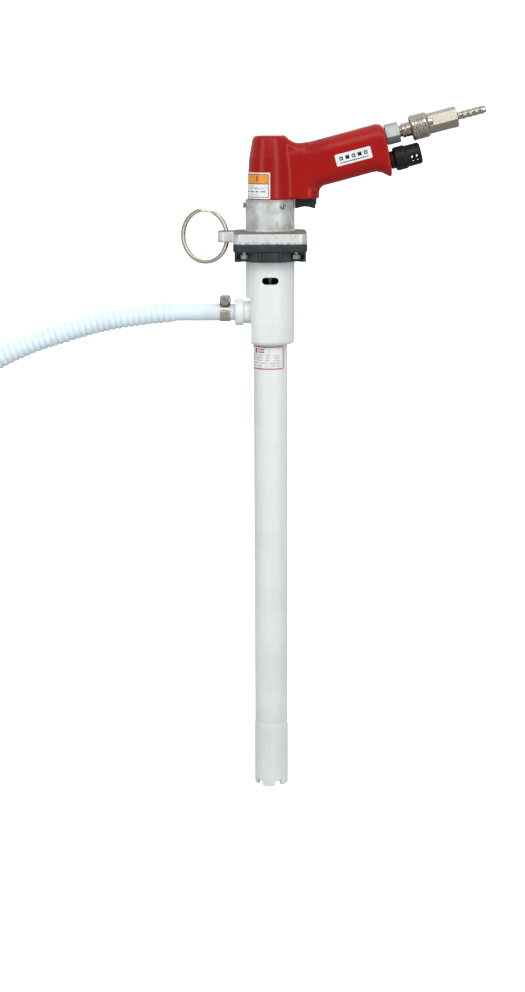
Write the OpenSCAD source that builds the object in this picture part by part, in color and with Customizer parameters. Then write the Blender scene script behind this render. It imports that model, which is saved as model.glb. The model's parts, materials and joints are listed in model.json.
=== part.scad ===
// Hand-held air motor pump for drums and containers.
// Z is the drive axis, and z = 0 is the shoulder where the discharge head stops on a container's neck.
// The grip and the air line point to +X, the discharge hose to -X.

/* [Suction tube and foot] */
// Outer diameter of the suction tube
tube_d = 32; // [31:0.5:33]
// Bore of the suction tube
tube_bore = 26; // [25:0.5:27]
// Length of the suction tube below the shoulder
tube_len = 374; // [300:1:450]
// Outer diameter of the foot
foot_d = 33; // [32.6:0.2:34]
// Length of the foot below the tube
foot_len = 65; // [64:0.2:80]
// Height of the notches in the foot's rim
notch_h = 4.8; // [3:0.2:6]
// Number of notches in the foot's rim
notch_n = 5; // [3:1:6]

/* [Discharge head] */
// Outer diameter of the discharge head
head_d = 46; // [45:0.5:47]
// Height of the discharge head up to the coupling flange
head_h = 78.5; // [76:0.5:79]
// Distance of the milled flat from the drive axis
flat_x = 18.2; // [17.5:0.1:19]
// Height of the outlet's axis
outlet_z = 29.5; // [28:0.5:31]
// Height of the leak slot
slot_z = 60.5; // [59:0.5:62]
// Width of the leak slot
slot_w = 15.4; // [12:0.2:18]
// Opening of the leak slot
slot_h = 6.7; // [5:0.1:8]

/* [Flanges and motor casing] */
// Width of the square flanges
flange_w = 68.4; // [68:0.2:72]
// Thickness of the motor casing's flange
flange_t = 10; // [10:0.5:12]
// Thickness of the coupling flange's square tier
coupling_t = 6.8; // [6:0.2:8]
// Thickness of the coupling flange's round tier
collar_t = 9.7; // [9:0.1:10]
// Outer diameter of the motor casing
casing_d = 46; // [45.4:0.2:48]
// Distance of each flange screw from both planes of symmetry
screw_xy = 24; // [23:0.5:25]

/* [Grip] */
// Diameter of the motor barrel where it meets the casing
barrel_d = 41.6; // [41:0.2:43]
// Height of the barrel's flat top
barrel_top = 193.3; // [191:0.1:196]
// Tilt of the grip above the horizontal
grip_tilt = 14.5; // [13.5:0.5:15.5]
// Depth of the grip across its axis
grip_h = 42.2; // [41:0.2:44]
// Width of the grip
grip_w = 32; // [31:0.5:34]
// Length of the grip along its axis, from the drive axis
grip_len = 112; // [108:1:116]
// Travel of the trigger
trigger_travel = 5; // [3:0.5:5]

/* [Air line] */
// Width across flats of the bushing and the coupler
hex_af = 17; // [16:0.5:17]
// Diameter of the coupler's sleeve
sleeve_d = 23.3; // [23:0.1:24.5]
// Travel of the coupler's sleeve
sleeve_travel = 3.5; // [2:0.5:3.5]
// Diameter over the ridges of the hose tail
barb_d = 7.6; // [7:0.1:8]
// Diameter of the muffler's head
muffler_d = 20; // [19:0.2:20.6]

/* [Hose] */
// Outer diameter of the corrugated hose
hose_d = 19.2; // [18:0.2:20]
// Outer diameter of the hose's smooth cuff
cuff_d = 15.7; // [15:0.1:16]
// Width of the hose clamp's band
clamp_w = 9.5; // [8:0.5:10]

/* [Hidden] */
$fn = 72;
gap = 0.05;
foot_z = -tube_len - foot_len;
casing_z = head_h + collar_t + coupling_t;
casing_top = 135.2;
flange_z = casing_z + flange_t;
chamber_r = 16.8;
shaft_r = 4;
grip_z = 156.3;
air_v = 8.7;
exhaust_v = -14.7;
bushing_u = grip_len + 1;
sleeve_u = grip_len + 25.2;
hex_u = grip_len + 41.6;
tail_u = grip_len + 68.7;
valve_x = 32.8;
neck_end = 25.2;
nut_end = 33.4;
cuff_end = 89;
clamp_x = -42.6;
clamp_screw_z = outlet_z + 12.1;
lug_x = -41;
ring_r = 24.3;
ring_z = 100.2;
ring_swing = -30;
hank_r = 3 * hose_d;
hank_x = [-510, -352];
hose_route = [
    [-89, 0, 29.5], [-110, 0, 28.2], [-135, 0, 25], [-162, 0, 20], [-192, 0, 11.5], [-224, 0, 0.5],
    [-255, 0, -14], [-284, 2, -31], [-309, 6, -55], [-328, 12, -85], [-340, 20, -122],
    [-346, 28, -165], [-349, 36, -210], [-350, 43, -255], [-352, 49, -298], [-358, 54, -336],
    [-372, 57, -369], [-396, 57.6, -396], [-424, 57.6, -409], [-450, 57.6, -410.2]
];

// Points of an arc from angle a to angle b
function arc(x, y, r, a, b, n = 8) = [for (i = [0:n]) let (t = a + (b - a) * i / n) [x + r * cos(t), y + r * sin(t)]];

// Places children at a distance along the grip's axis and above it
module at_grip(along = 0, above = 0) {
    translate([0, 0, grip_z]) rotate([0, -grip_tilt, 0]) translate([along, 0, above]) children();
}

// The same, with the children's Z along the grip
module down_grip(along = 0, above = 0) {
    at_grip(along, above) rotate([0, 90, 0]) children();
}

// A ring about Z
module tube(outer, inner, h) {
    rotate_extrude() translate([inner, 0]) square([outer - inner, h]);
}

// A ring's sector about Z, starting at angle a
module sector(outer, inner, h, a, sweep) {
    rotate([0, 0, a]) rotate_extrude(angle = sweep) translate([inner, 0]) square([outer - inner, h]);
}

// A square plate with rounded corners, centred on Z
module plate(w, h, r) {
    linear_extrude(h) hull() {
        for (x = [-1, 1], y = [-1, 1]) translate([x * (w / 2 - r), y * (w / 2 - r)]) circle(r, $fn = 32);
    }
}

// A hexagonal prism, of the given width across flats
module hex(af, h) {
    cylinder(h = h, r = af / 2 / cos(30), $fn = 6);
}

module at_flange_screws() {
    for (x = [-1, 1], y = [-1, 1]) translate([x * screw_xy, y * screw_xy, 0]) children();
}

module at_casing_screws() {
    for (a = [180, 300, 60]) rotate([0, 0, a]) translate([0, 0, 129.6]) rotate([0, 90, 0]) children();
}

module at_ring() {
    translate([lug_x, 0, ring_z]) rotate([0, 0, ring_swing]) translate([0.8 - ring_r, 0, 0]) children();
}

module barrel() {
    rotate_extrude() polygon(concat(
        [[0, casing_top], [barrel_d / 2, casing_top], [barrel_d / 2 - 0.6, 160], [19.4, 173], [17.8, 182]],
        arc(11.9, barrel_top - 4.6, 4.6, 0, 90),
        [[0, barrel_top]]
    ));
}

module grip_bar() {
    difference() {
        down_grip(2) linear_extrude(grip_len) hull() {
            for (x = [-1, 1], y = [-1, 1])
                translate([x * (grip_h / 2 - 13.5), y * (grip_w / 2 - 13.5)]) circle(13.5, $fn = 48);
        }
        at_grip(grip_len + 1.1, grip_h / 2) rotate([0, 3, 0]) translate([0, -30, -60]) cube([20, 60, 80]);
        at_grip(grip_len - 7.4, grip_h / 2 - 8) rotate([90, 0, 0]) linear_extrude(60, center = true)
            polygon(concat([[12, 12]], arc(0, 0, 8, 90, 0)));
        for (side = [-1, 1]) translate([0, 0, 120]) scale([1, side, 1]) linear_extrude(100)
            polygon([[5, 12], [30, 12], [52, 16.4], [52, 30], [5, 30]]);
    }
}

// Fills the step from the barrel's top down to the grip
module saddle() {
    rotate([90, 0, 0]) linear_extrude(19, center = true)
        polygon([[2, 170], [34, 170], [34, 186.3], [26, 186.2], [18, 189.6], [12.2, 193.1], [2, 193.1]]);
}

module grip_lip() {
    at_grip() rotate([90, 0, 0]) linear_extrude(25, center = true) polygon(concat(
        [[90, -14], [90, -20.9]],
        arc(93, -37, 16.1, 88, 45),
        [[107.4, -28.3], [109.2, -29.4], [110.6, -20], [111, -14]]
    ));
}

module trigger_boss() {
    translate([0, 0, casing_top]) linear_extrude(30) {
        translate([0, -12]) square([34, 24]);
        translate([33.4, 0]) circle(12.6);
    }
}

module grip_housing() {
    color("firebrick") difference() {
        union() {
            barrel();
            grip_bar();
            grip_lip();
            saddle();
            trigger_boss();
            translate([0, 0, 121.3]) cylinder(h = casing_top - 121.3, r = 19.4);
        }
        translate([0, 0, 121]) cylinder(h = 48, r = chamber_r);
        translate([0, 0, 168]) cylinder(h = 8.1, r = 11);
        at_casing_screws() cylinder(h = 30, r = 1.55);
        down_grip(34, air_v) cylinder(h = 80, r = 5);
        down_grip(grip_len - 12, air_v) cylinder(h = 20, r = 6.55);
        down_grip(48, exhaust_v) cylinder(h = 70, r = 4.5);
        translate([50, 0, 153]) rotate([90, 0, 0]) cylinder(h = 26, r = 3, center = true);
        for (y = [-1, 1]) translate([8, y * 9.2, 152]) rotate([0, 90, 0]) cylinder(h = 42, r = 1.5);
        translate([12, 0, 153]) rotate([0, 90, 0]) cylinder(h = 18, r = 2.5);
        translate([valve_x, 0, 140]) cylinder(h = 36, r = 6 + gap);
        translate([22.8, -5.4, casing_top - 1]) cube([20, 10.8, 8.6]);
        translate([39.2, -2.4, casing_top - 1]) cube([4.6, 4.8, 18.2]);
        translate([41.5, 0, 144.6]) rotate([90, 0, 0]) cylinder(h = 20, r = 0.9, center = true);
    }
}

module motor_casing() {
    color("silver") difference() {
        union() {
            translate([0, 0, casing_z]) plate(flange_w, flange_t, 8);
            translate([0, 0, flange_z - 1]) cylinder(h = casing_top - flange_z + 1, r = casing_d / 2);
            translate([0, 0, flange_z]) cylinder(h = 2.5, r1 = casing_d / 2 + 2.5, r2 = casing_d / 2 - 0.2);
            translate([lug_x, -8, casing_z + 0.3]) cube([12, 16, flange_t + 0.7]);
            translate([lug_x, 0, casing_z + 0.3]) cylinder(h = flange_t + 0.7, r = 8.2);
        }
        translate([0, 0, casing_z - 1]) cylinder(h = 113 - casing_z, r = 14);
        translate([0, 0, casing_z]) cylinder(h = 30, r = 7);
        translate([0, 0, 114]) cylinder(h = 10, r = 11);
        translate([0, 0, 121.2]) cylinder(h = 20, r = 19.5);
        at_casing_screws() cylinder(h = 30, r = 1.65);
        at_flange_screws() translate([0, 0, casing_z - 1]) cylinder(h = 9, r = 2.1);
        translate([lug_x, 0, casing_z - 1]) cylinder(h = 20, r = 3.9);
    }
}

module casing_screws() {
    color("gainsboro") at_casing_screws() {
        translate([0, 0, 17.4]) cylinder(h = casing_d / 2 - 17.2, r = 1.5);
        translate([0, 0, casing_d / 2]) difference() {
            cylinder(h = 2.3, r = 2.7);
            translate([-3, -0.45, 1.2]) cube([6, 0.9, 2]);
        }
    }
}

module flange_screws() {
    color("gainsboro") at_flange_screws() {
        translate([0, 0, casing_z - 9.8]) cylinder(h = 16.8, r = 2);
        translate([0, 0, casing_z - 13.6]) rotate([0, 0, 15]) hex(7, 4);
    }
}

module flange_seal() {
    color("dimgray") translate([0, 0, casing_z - 1.5]) tube(18.8, 17, 1.5);
}

module coupling_flange() {
    low = head_h;
    mid = low + collar_t;
    color("darkslategray") difference() {
        union() {
            translate([0, 0, mid]) plate(flange_w + 0.4, coupling_t, 8);
            translate([0, 0, low]) cylinder(h = collar_t + 1, r = 33);
            translate([-33.2, -24.5, low]) cube([66.4, 49, collar_t + 1]);
            for (y = [-1, 1], x = [-9.5, 9.5]) translate([x - 1.3, y * 32.3 - 1.2, low]) cube([2.6, 2.4, collar_t + 1]);
        }
        translate([0, 0, low - 1]) cylinder(h = collar_t + 0.3, r = head_d / 2 + gap);
        translate([0, 0, low]) cylinder(h = 30, r = 14);
        translate([0, 0, casing_z - 1.5]) tube(18.9, 16.9, 3);
        at_flange_screws() {
            translate([0, 0, low - 1]) cylinder(h = 30, r = 2.2);
            translate([0, 0, low - 1]) cylinder(h = 8.2, r = 4.8);
        }
        for (x = [-1, 1], y = [-1, 1]) translate([x * 28, y * 24, low + 4.8]) cube([6, 8, 4], center = true);
    }
}

module key_ring() {
    half = 1.75;
    color("lightgray") at_ring() rotate([90, 0, 0]) rotate_extrude() translate([ring_r, 0]) polygon([
        [-half, -half], [half, -half], [half, -0.3], [half - 0.4, 0], [half, 0.3],
        [half, half], [-half, half], [-half, 0.3], [0.4 - half, 0], [-half, -0.3]
    ]);
}

module trigger() {
    color("#2a2b2d") difference() {
        union() {
            translate([23.2, -5, 126.5]) cube([19.1, 10, 10.5]);
            translate([39.6, -2, 130]) cube([3.8, 4, 17]);
        }
        translate([32.7, 0, 110.1]) rotate([90, 0, 0]) cylinder(h = 30, r = 18, center = true);
        translate([40.5, -5, 138.3]) cube([2, 10, 7.4]);
        translate([43, -6, 120]) cube([5, 12, 15]);
    }
}

module trigger_pin() {
    color("silver") translate([41.5, 0, 144.6]) rotate([90, 0, 0]) cylinder(h = 19.6, r = 0.85, center = true);
}

module valve_body() {
    color("goldenrod") translate([valve_x, 0, 0]) difference() {
        translate([0, 0, 143]) cylinder(h = 31, r = 6);
        translate([0, 0, 142]) cylinder(h = 10, r = 2.55);
        translate([0, 0, 149]) cylinder(h = 9, r = 3.2);
        translate([0, 0, 157]) cylinder(h = 20, r = 4.6);
        translate([-8, 0, 153]) rotate([0, 90, 0]) cylinder(h = 7, r = 1.8);
        translate([0, 0, 169]) rotate([0, 90, 0]) cylinder(h = 9, r = 2);
    }
}

module valve_seat() {
    color("ivory") translate([valve_x, 0, 157]) tube(4.55, 2.9, 2.5);
}

module valve_stem() {
    color("silver") translate([valve_x, 0, 0]) {
        translate([0, 0, 137.2]) cylinder(h = 12.3, r = 2.5);
        translate([0, 0, 149]) cylinder(h = 11.5, r = 1.5);
        translate([0, 0, 159.8]) cylinder(h = 2.8, r = 4);
    }
}

module valve_spring() {
    color("gray") translate([valve_x, 0, 162.8]) tube(3.8, 3.1, 8.8);
}

module spring_cap() {
    color("goldenrod") translate([valve_x, 0, 171.8]) tube(4.55, 1.8, 1.8);
}

module inlet_bushing() {
    color("silver") down_grip(0, air_v) difference() {
        union() {
            translate([0, 0, grip_len - 11]) cylinder(h = 13, r = 6.5);
            translate([0, 0, bushing_u]) rotate([0, 0, 45]) hex(hex_af, 12.8);
        }
        translate([0, 0, grip_len - 12]) cylinder(h = 30, r = 4);
        translate([0, 0, bushing_u + 2]) cylinder(h = 20, r = 5.15);
    }
}

module coupler_plug() {
    color("#b9af9b") down_grip(grip_len, air_v) rotate_extrude() polygon([
        [2.7, 3], [5.1, 3], [5.1, 16.4], [6.6, 16.4], [6.6, 25.6], [5.42, 26.4], [5.42, 28.4], [4.9, 29],
        [4.9, 32], [5.42, 32.6], [5.42, 37], [4.6, 38], [2.7, 38]
    ]);
}

module coupler_body() {
    color("#b9af9b") down_grip(0, air_v) difference() {
        union() {
            translate([0, 0, sleeve_u + 1.4]) cylinder(h = 16, r = 9.2);
            translate([0, 0, hex_u]) rotate([0, 0, 45]) hex(hex_af, tail_u - hex_u);
        }
        translate([0, 0, sleeve_u]) rotate_extrude() polygon([
            [0, 0], [5.5, 0], [5.5, 11], [6.6, 11], [6.6, 13.6], [4.5, 13.6], [4.5, 33], [5.05, 33], [5.05, 50], [0, 50]
        ]);
        for (a = [0:60:300]) rotate([0, 0, a]) translate([4, 0, grip_len + 30.5]) rotate([0, 90, 0])
            cylinder(h = 8, r = 1.6);
    }
}

module coupler_sleeve() {
    r = sleeve_d / 2;
    color("#b9af9b") down_grip(sleeve_u, air_v) rotate_extrude() polygon([
        [10, 0], [r - 0.6, 0], [r, 0.6], [r, 14], [r - 1, 16.2], [10.2, 16.2], [10.2, 9.2],
        [9.28, 9.2], [9.28, 2.6], [10, 2.6]
    ]);
}

module coupler_balls() {
    color("silver") down_grip(grip_len + 30.5, air_v) for (a = [0:60:300]) rotate([0, 0, a])
        translate([6.78, 0, 0]) sphere(1.5);
}

module coupler_seal() {
    color("dimgray") down_grip(sleeve_u + 11, air_v) tube(6.55, 5.5, 2.5);
}

module sleeve_spring() {
    color("gray") down_grip(sleeve_u + 9.4, air_v) tube(10.1, 9.35, 6.8);
}

module coupler_valve() {
    color("goldenrod") down_grip(sleeve_u + 14.2, air_v) tube(4.3, 1.5, 8);
}

module hose_tail() {
    pitch = 5.6;
    r = barb_d / 2;
    color("#b9af9b") down_grip(tail_u, air_v) rotate_extrude() polygon(concat(
        [[2.2, -9.5], [5, -9.5], [5, 0], [4.4, 0.6], [3.3, 0.6]],
        [for (i = [0:3]) each [[3.3, 4.6 + i * pitch - 0.1], [r, 4.6 + i * pitch + 1.6], [r, 4.6 + i * pitch + 2.2],
            [3.3, 4.6 + i * pitch + 4.4]]],
        [[2.9, 27.3], [2.2, 27.3]]
    ));
}

module exhaust_muffler() {
    r = muffler_d / 2;
    color("#1e1e20") down_grip(grip_len, exhaust_v) difference() {
        rotate_extrude() polygon(concat(
            [[0, -9], [4.4, -9], [4.4, -0.3], [8.2, -0.3], [8.2, 3], [11, 4.8], [11, 14], [r, 15.6]],
            arc(r - 2.5, 26.3, 2.5, 0, 90),
            [[0, 28.8]]
        ));
        translate([0, 0, -10]) cylinder(h = 20, r = 3);
        translate([0, 0, 1.5]) cylinder(h = 25.3, r = 7.8);
        for (side = [-1, 1], low = [11, 38], z = [20.1, 24.6]) translate([0, 0, z]) rotate([0, 0, side * (90 - low)])
            rotate([0, 90, 0]) cylinder(h = 14, r = 1.5);
    }
}

module muffler_felt() {
    color("darkkhaki") down_grip(grip_len + 3, exhaust_v) tube(7.7, 3.2, 9);
}

module motor_cylinder() {
    color("lightsteelblue") difference() {
        translate([0, 0, 126]) cylinder(h = 38, r = chamber_r - gap);
        translate([-1.5, 0, 125]) cylinder(h = 40, r = 13);
        translate([0, 0, 153]) rotate([0, 90, 0]) cylinder(h = 20, r = 2.5);
        for (y = [-1, 1]) translate([6, y * 9.2, 152]) rotate([0, 90, 0]) cylinder(h = 12, r = 1.5);
    }
}

module motor_rotor() {
    color("slategray") difference() {
        union() {
            translate([0, 0, 96.8]) cylinder(h = 79.2, r = shaft_r);
            translate([0, 0, 126.3]) cylinder(h = 37.4, r = 11.2);
        }
        for (a = [0:90:270]) rotate([0, 0, a]) translate([5.5, -0.85, 126]) cube([8, 1.7, 38]);
    }
}

module motor_vanes() {
    color("saddlebrown") for (a = [0:90:270]) rotate([0, 0, a]) translate([5.6, -0.75, 126.5]) cube([5.5, 1.5, 37]);
}

module upper_end_plate() {
    color("silver") translate([0, 0, 164.1]) tube(chamber_r - gap, shaft_r + 0.3, 4.7);
}

module lower_end_plate() {
    color("silver") translate([0, 0, 121.3]) tube(chamber_r - gap, shaft_r + 0.3, 4.6);
}

module upper_bearing() {
    color("gainsboro") translate([0, 0, 169]) tube(11 - gap, shaft_r + gap, 7);
}

module lower_bearing() {
    color("gainsboro") translate([0, 0, 114.1]) tube(11 - gap, shaft_r + gap, 7);
}

module motor_coupling() {
    color("silver") {
        translate([0, 0, 97]) tube(10, shaft_r + 0.02, 9);
        for (a = [0:120:240]) translate([0, 0, 90.5]) sector(9.8, 5.2, 7, a - 18, 36);
    }
}

module coupling_spider() {
    color("orangered") {
        translate([0, 0, 90.4]) cylinder(h = 6.3, r = 4.8);
        for (a = [30:60:330]) translate([0, 0, 90.4]) sector(9.8, 4.2, 6.3, a - 10, 20);
    }
}

module shaft_coupling() {
    color("silver") {
        translate([0, 0, 80.5]) tube(10, shaft_r + 0.02, 9.6);
        for (a = [60:120:300]) translate([0, 0, 90]) sector(9.8, 5.2, 6.5, a - 18, 36);
    }
}

module drive_shaft() {
    color("lightgray") {
        translate([0, 0, foot_z + 23]) cylinder(h = 90 - foot_z - 23, r = shaft_r);
        translate([0, 0, foot_z + 4.6]) cylinder(h = 20, r = 3);
    }
}

module shaft_bushes() {
    color("ivory") for (z = [20, -90, -200, -310]) translate([0, 0, z]) tube(5.15, shaft_r + gap, 12);
}

module shaft_seal() {
    color("dimgray") translate([0, 0, 44.1]) tube(8.95, shaft_r + gap, 5.9);
}

module upper_bush() {
    color("ivory") translate([0, 0, 69]) tube(6.95, shaft_r + gap, 8);
}

module guide_tube() {
    color("whitesmoke") translate([0, 0, foot_z + 54]) tube(6.5, 5.2, 43.9 - foot_z - 54);
}

module pump_head() {
    r = head_d / 2;
    color("whitesmoke") difference() {
        union() {
            rotate_extrude() polygon(concat(
                [[0, 0]],
                arc(r - 4, 4, 4, -90, 0),
                [[r, head_h + collar_t - 0.7], [0, head_h + collar_t - 0.7]]
            ));
            translate([0, 0, outlet_z]) rotate([0, -90, 0]) cylinder(h = neck_end, r = 10.6);
        }
        difference() {
            union() {
                translate([-40 - flat_x, -30, -1]) cube([40, 60, 41]);
                translate([-flat_x - 3.5, 0, 40]) rotate([90, 0, 0]) cylinder(h = 60, r = 3.5, center = true);
            }
            translate([0, 0, outlet_z]) rotate([0, -90, 0]) cylinder(h = neck_end, r = 10.6);
        }
        translate([0, 0, -1]) cylinder(h = 15, r = tube_d / 2 + gap);
        translate([0, 0, 13]) cylinder(h = 27, r = 13);
        translate([0, 0, 39]) cylinder(h = 10, r = 6.55);
        translate([0, 0, 44]) cylinder(h = 10, r = 9);
        translate([0, 0, 50]) cylinder(h = 19, r = 17);
        translate([0, 0, 60]) cylinder(h = 30, r = 7);
        translate([0, 0, 77]) cylinder(h = 20, r = 15);
        translate([0, 0, outlet_z]) rotate([0, -90, 0]) cylinder(h = 40, r = 7.15);
        translate([0, 0, slot_z]) rotate([90, 0, 0]) linear_extrude(30) hull()
            for (x = [-1, 1]) translate([x * (slot_w - slot_h) / 2, 0]) circle(slot_h / 2, $fn = 32);
    }
}

module outlet_nut() {
    color("whitesmoke") translate([0, 0, outlet_z]) rotate([0, -90, 0]) rotate_extrude() polygon([
        [10, neck_end], [12.2, neck_end], [12.6, neck_end + 0.6], [12.6, nut_end - 1], [11.6, nut_end],
        [6, nut_end], [6, neck_end + 2.6], [10, neck_end + 2.6]
    ]);
}

module hose_nipple() {
    color("whitesmoke") translate([0, 0, outlet_z]) rotate([0, -90, 0]) rotate_extrude() polygon([
        [4.4, 13], [7.1, 13], [7.1, neck_end], [9.9, neck_end], [9.9, neck_end + 2.5], [5.9, neck_end + 2.5],
        [5.9, 62], [4.4, 62]
    ]);
}

module clamp_band() {
    color("silver") translate([clamp_x, 0, outlet_z]) rotate([0, 90, 0]) translate([0, 0, -clamp_w / 2])
        tube(cuff_d / 2 + 0.8, cuff_d / 2 + gap, clamp_w);
}

module clamp_housing() {
    color("gray") difference() {
        translate([clamp_x - 5.2, -4.5, outlet_z + 6]) cube([10.4, 10.5, 9.8]);
        translate([clamp_x - 6, 0, outlet_z]) rotate([0, 90, 0]) cylinder(h = 12, r = cuff_d / 2 + 0.85);
        translate([clamp_x, 0, clamp_screw_z]) rotate([90, 0, 0]) cylinder(h = 30, r = 2.9, center = true);
    }
}

module clamp_screw() {
    color("silver") translate([clamp_x, 0, clamp_screw_z]) rotate([90, 0, 0]) difference() {
        union() {
            translate([0, 0, -7]) cylinder(h = 12, r = 2.8);
            translate([0, 0, 4.8]) rotate([0, 0, 22.5]) cylinder(h = 4.2, r = 5, $fn = 8);
        }
        rotate([0, 0, -38]) translate([-6, -0.55, 7.6]) cube([12, 1.1, 3]);
    }
}

module suction_tube() {
    color("whitesmoke") translate([0, 0, -tube_len]) tube(tube_d / 2, tube_bore / 2, tube_len + 14);
}

module foot_casing() {
    r = foot_d / 2;
    color("whitesmoke") difference() {
        rotate_extrude() polygon([
            [13.2, foot_z], [r, foot_z], [r, -tube_len - 1.5], [r - 0.5, -tube_len], [tube_bore / 2 - gap, -tube_len],
            [tube_bore / 2 - gap, 15 - tube_len], [10.6, 15 - tube_len], [10.6, foot_z + 44], [13.2, foot_z + 40]
        ]);
        for (i = [0:notch_n - 1]) translate([0, 0, foot_z - 1])
            sector(20, 10, notch_h + 1, 283 + i * 360 / notch_n, 25);
    }
}

module foot_bearing() {
    color("ivory") translate([0, 0, foot_z + 46]) difference() {
        tube(10.55, shaft_r + gap, 8);
        for (a = [0:120:240]) translate([0, 0, -1]) sector(9.6, 6.6, 10, a, 90);
    }
}

module impeller() {
    color("lightsteelblue") translate([0, 0, foot_z + 8]) difference() {
        intersection() {
            union() {
                cylinder(h = 15, r = 5.5);
                for (a = [0:120:240]) rotate([0, 0, a]) translate([8, 0, 7.5]) rotate([50, 0, 0])
                    cube([12, 1.6, 17], center = true);
            }
            cylinder(h = 15, r = 12.7);
        }
        translate([0, 0, -1]) cylinder(h = 20, r = 3.02);
    }
}

module impeller_nut() {
    color("silver") translate([0, 0, foot_z + 5]) difference() {
        hex(9, 2.9);
        translate([0, 0, -1]) cylinder(h = 6, r = 3.02);
    }
}

module name_plate() {
    color("white") at_grip(79, -1.7) translate([0, -grip_w / 2, 0]) rotate([90, 0, 0]) linear_extrude(0.4) hull()
        for (x = [-1, 1], y = [-1, 1]) translate([x * 15.5, y * 4]) circle(1.5, $fn = 16);
}

module barrel_label() {
    r = barrel_d / 2;
    color("orange") rotate([0, 0, 170]) rotate_extrude(angle = 100) polygon([
        [r + 0.02, 136], [r + 0.25, 136], [r - 0.33, 160], [r - 0.56, 160]
    ]);
}

module tube_label() {
    color("white") translate([0, 0, -23.6]) sector(tube_d / 2 + 0.2, tube_d / 2, 22.8, 161, 161);
}

module hose_cuff() {
    color("aliceblue") translate([-nut_end - 0.1, 0, outlet_z]) rotate([0, -90, 0])
        tube(cuff_d / 2, 5.95, cuff_end - nut_end - 0.1);
}

// Unit vector
function unit(v) = v / norm(v);

// Direction of a route at its point i
function heading(route, i) = unit(route[min(i + 1, len(route) - 1)] - route[max(i - 1, 0)]);

// The ring of corners around point i of a route
function ring(route, i, r, n) = let (t = heading(route, i), s = unit(cross(t, [0, 1, 0])), u = cross(t, s))
    [for (k = [0:n - 1]) route[i] + r * (s * cos(k * 360 / n) + u * sin(k * 360 / n))];

// A round tube of n sides that follows a route
module sweep(route, r, n = 10) {
    last = len(route) - 1;
    polyhedron(
        [for (i = [0:last]) each ring(route, i, r, n)],
        concat(
            [[for (k = [0:n - 1]) n - 1 - k]],
            [for (i = [0:last - 1], k = [0:n - 1])
                [i * n + k, i * n + (k + 1) % n, (i + 1) * n + (k + 1) % n, (i + 1) * n + k]],
            [[for (k = [0:n - 1]) last * n + k]]
        )
    );
}

module hose_run() {
    color("aliceblue") sweep(hose_route, hose_d / 2);
}

module stadium(r) {
    hull() for (x = hank_x) translate([x, 0]) circle(r, $fn = 64);
}

module hose_hank() {
    color("aliceblue") translate([0, 0, foot_z]) linear_extrude(2 * hose_d) difference() {
        stadium(hank_r + hose_d / 2);
        stadium(hank_r - hose_d / 2);
    }
}

module tie_outline(r) {
    hull() for (z = [0.5, 1.5]) translate([-hank_r, foot_z + z * hose_d]) circle(r, $fn = 32);
}

module hose_tie() {
    color("dimgray") translate([-430, 0, 0]) rotate([90, 0, 90]) linear_extrude(12, center = true) difference() {
        intersection() {
            tie_outline(hose_d / 2 + 1.2);
            translate([-100, foot_z]) square([100, 60]);
        }
        tie_outline(hose_d / 2 - 0.2);
    }
}

grip_housing();
motor_casing();
casing_screws();
flange_screws();
flange_seal();
coupling_flange();
key_ring();
trigger();
trigger_pin();
valve_body();
valve_seat();
valve_stem();
valve_spring();
spring_cap();
inlet_bushing();
coupler_plug();
coupler_body();
coupler_sleeve();
coupler_balls();
coupler_seal();
sleeve_spring();
coupler_valve();
hose_tail();
exhaust_muffler();
muffler_felt();
motor_cylinder();
motor_rotor();
motor_vanes();
upper_end_plate();
lower_end_plate();
upper_bearing();
lower_bearing();
motor_coupling();
coupling_spider();
shaft_coupling();
drive_shaft();
shaft_bushes();
shaft_seal();
upper_bush();
guide_tube();
pump_head();
outlet_nut();
hose_nipple();
clamp_band();
clamp_housing();
clamp_screw();
suction_tube();
foot_casing();
foot_bearing();
impeller();
impeller_nut();
name_plate();
barrel_label();
tube_label();
hose_cuff();
hose_run();
hose_hank();
hose_tie();
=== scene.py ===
# Air motor hand pump: finished pieces, finishes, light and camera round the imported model.
import json
import math
import bpy
import bmesh
import numpy as np
from mathutils import Matrix, Vector


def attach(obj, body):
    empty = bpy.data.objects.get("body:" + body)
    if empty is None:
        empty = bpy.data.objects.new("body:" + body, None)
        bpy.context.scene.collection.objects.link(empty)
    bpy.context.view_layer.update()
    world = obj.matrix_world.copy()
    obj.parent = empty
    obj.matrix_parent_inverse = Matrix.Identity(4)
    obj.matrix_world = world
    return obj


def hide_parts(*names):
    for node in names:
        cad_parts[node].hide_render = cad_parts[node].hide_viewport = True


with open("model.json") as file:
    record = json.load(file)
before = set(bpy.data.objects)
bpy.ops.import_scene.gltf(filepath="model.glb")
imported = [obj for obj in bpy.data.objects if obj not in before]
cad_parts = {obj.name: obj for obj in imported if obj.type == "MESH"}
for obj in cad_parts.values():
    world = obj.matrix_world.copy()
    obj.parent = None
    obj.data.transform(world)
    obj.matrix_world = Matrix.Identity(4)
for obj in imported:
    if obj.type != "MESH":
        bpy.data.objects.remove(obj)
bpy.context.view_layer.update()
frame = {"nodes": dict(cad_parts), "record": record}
mm = 0.001
bodyOfNode = {n: b for b, group in frame["record"]["behaviour"]["bodies"].items() for n in group}

# The camera and the hose come first

cameraSet = {"place": (-0.0067, -1.718, 0.2231), "pitch": 12.2, "roll": 0.2, "lens": 66.05, "sensor": 36.0}


def addCamera(s):
    data = bpy.data.cameras.new("camera")
    data.sensor_fit = "AUTO"
    data.sensor_width = s["sensor"]
    data.lens = s["lens"]
    data.clip_start, data.clip_end = 0.05, 60
    camera = bpy.data.objects.new("camera", data)
    camera.location = s["place"]
    camera.rotation_euler = (math.radians(90 - s["pitch"]), math.radians(s["roll"]), 0)
    bpy.context.scene.collection.objects.link(camera)
    bpy.context.scene.camera = camera


addCamera(cameraSet)

# Small tools for meshes


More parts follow.
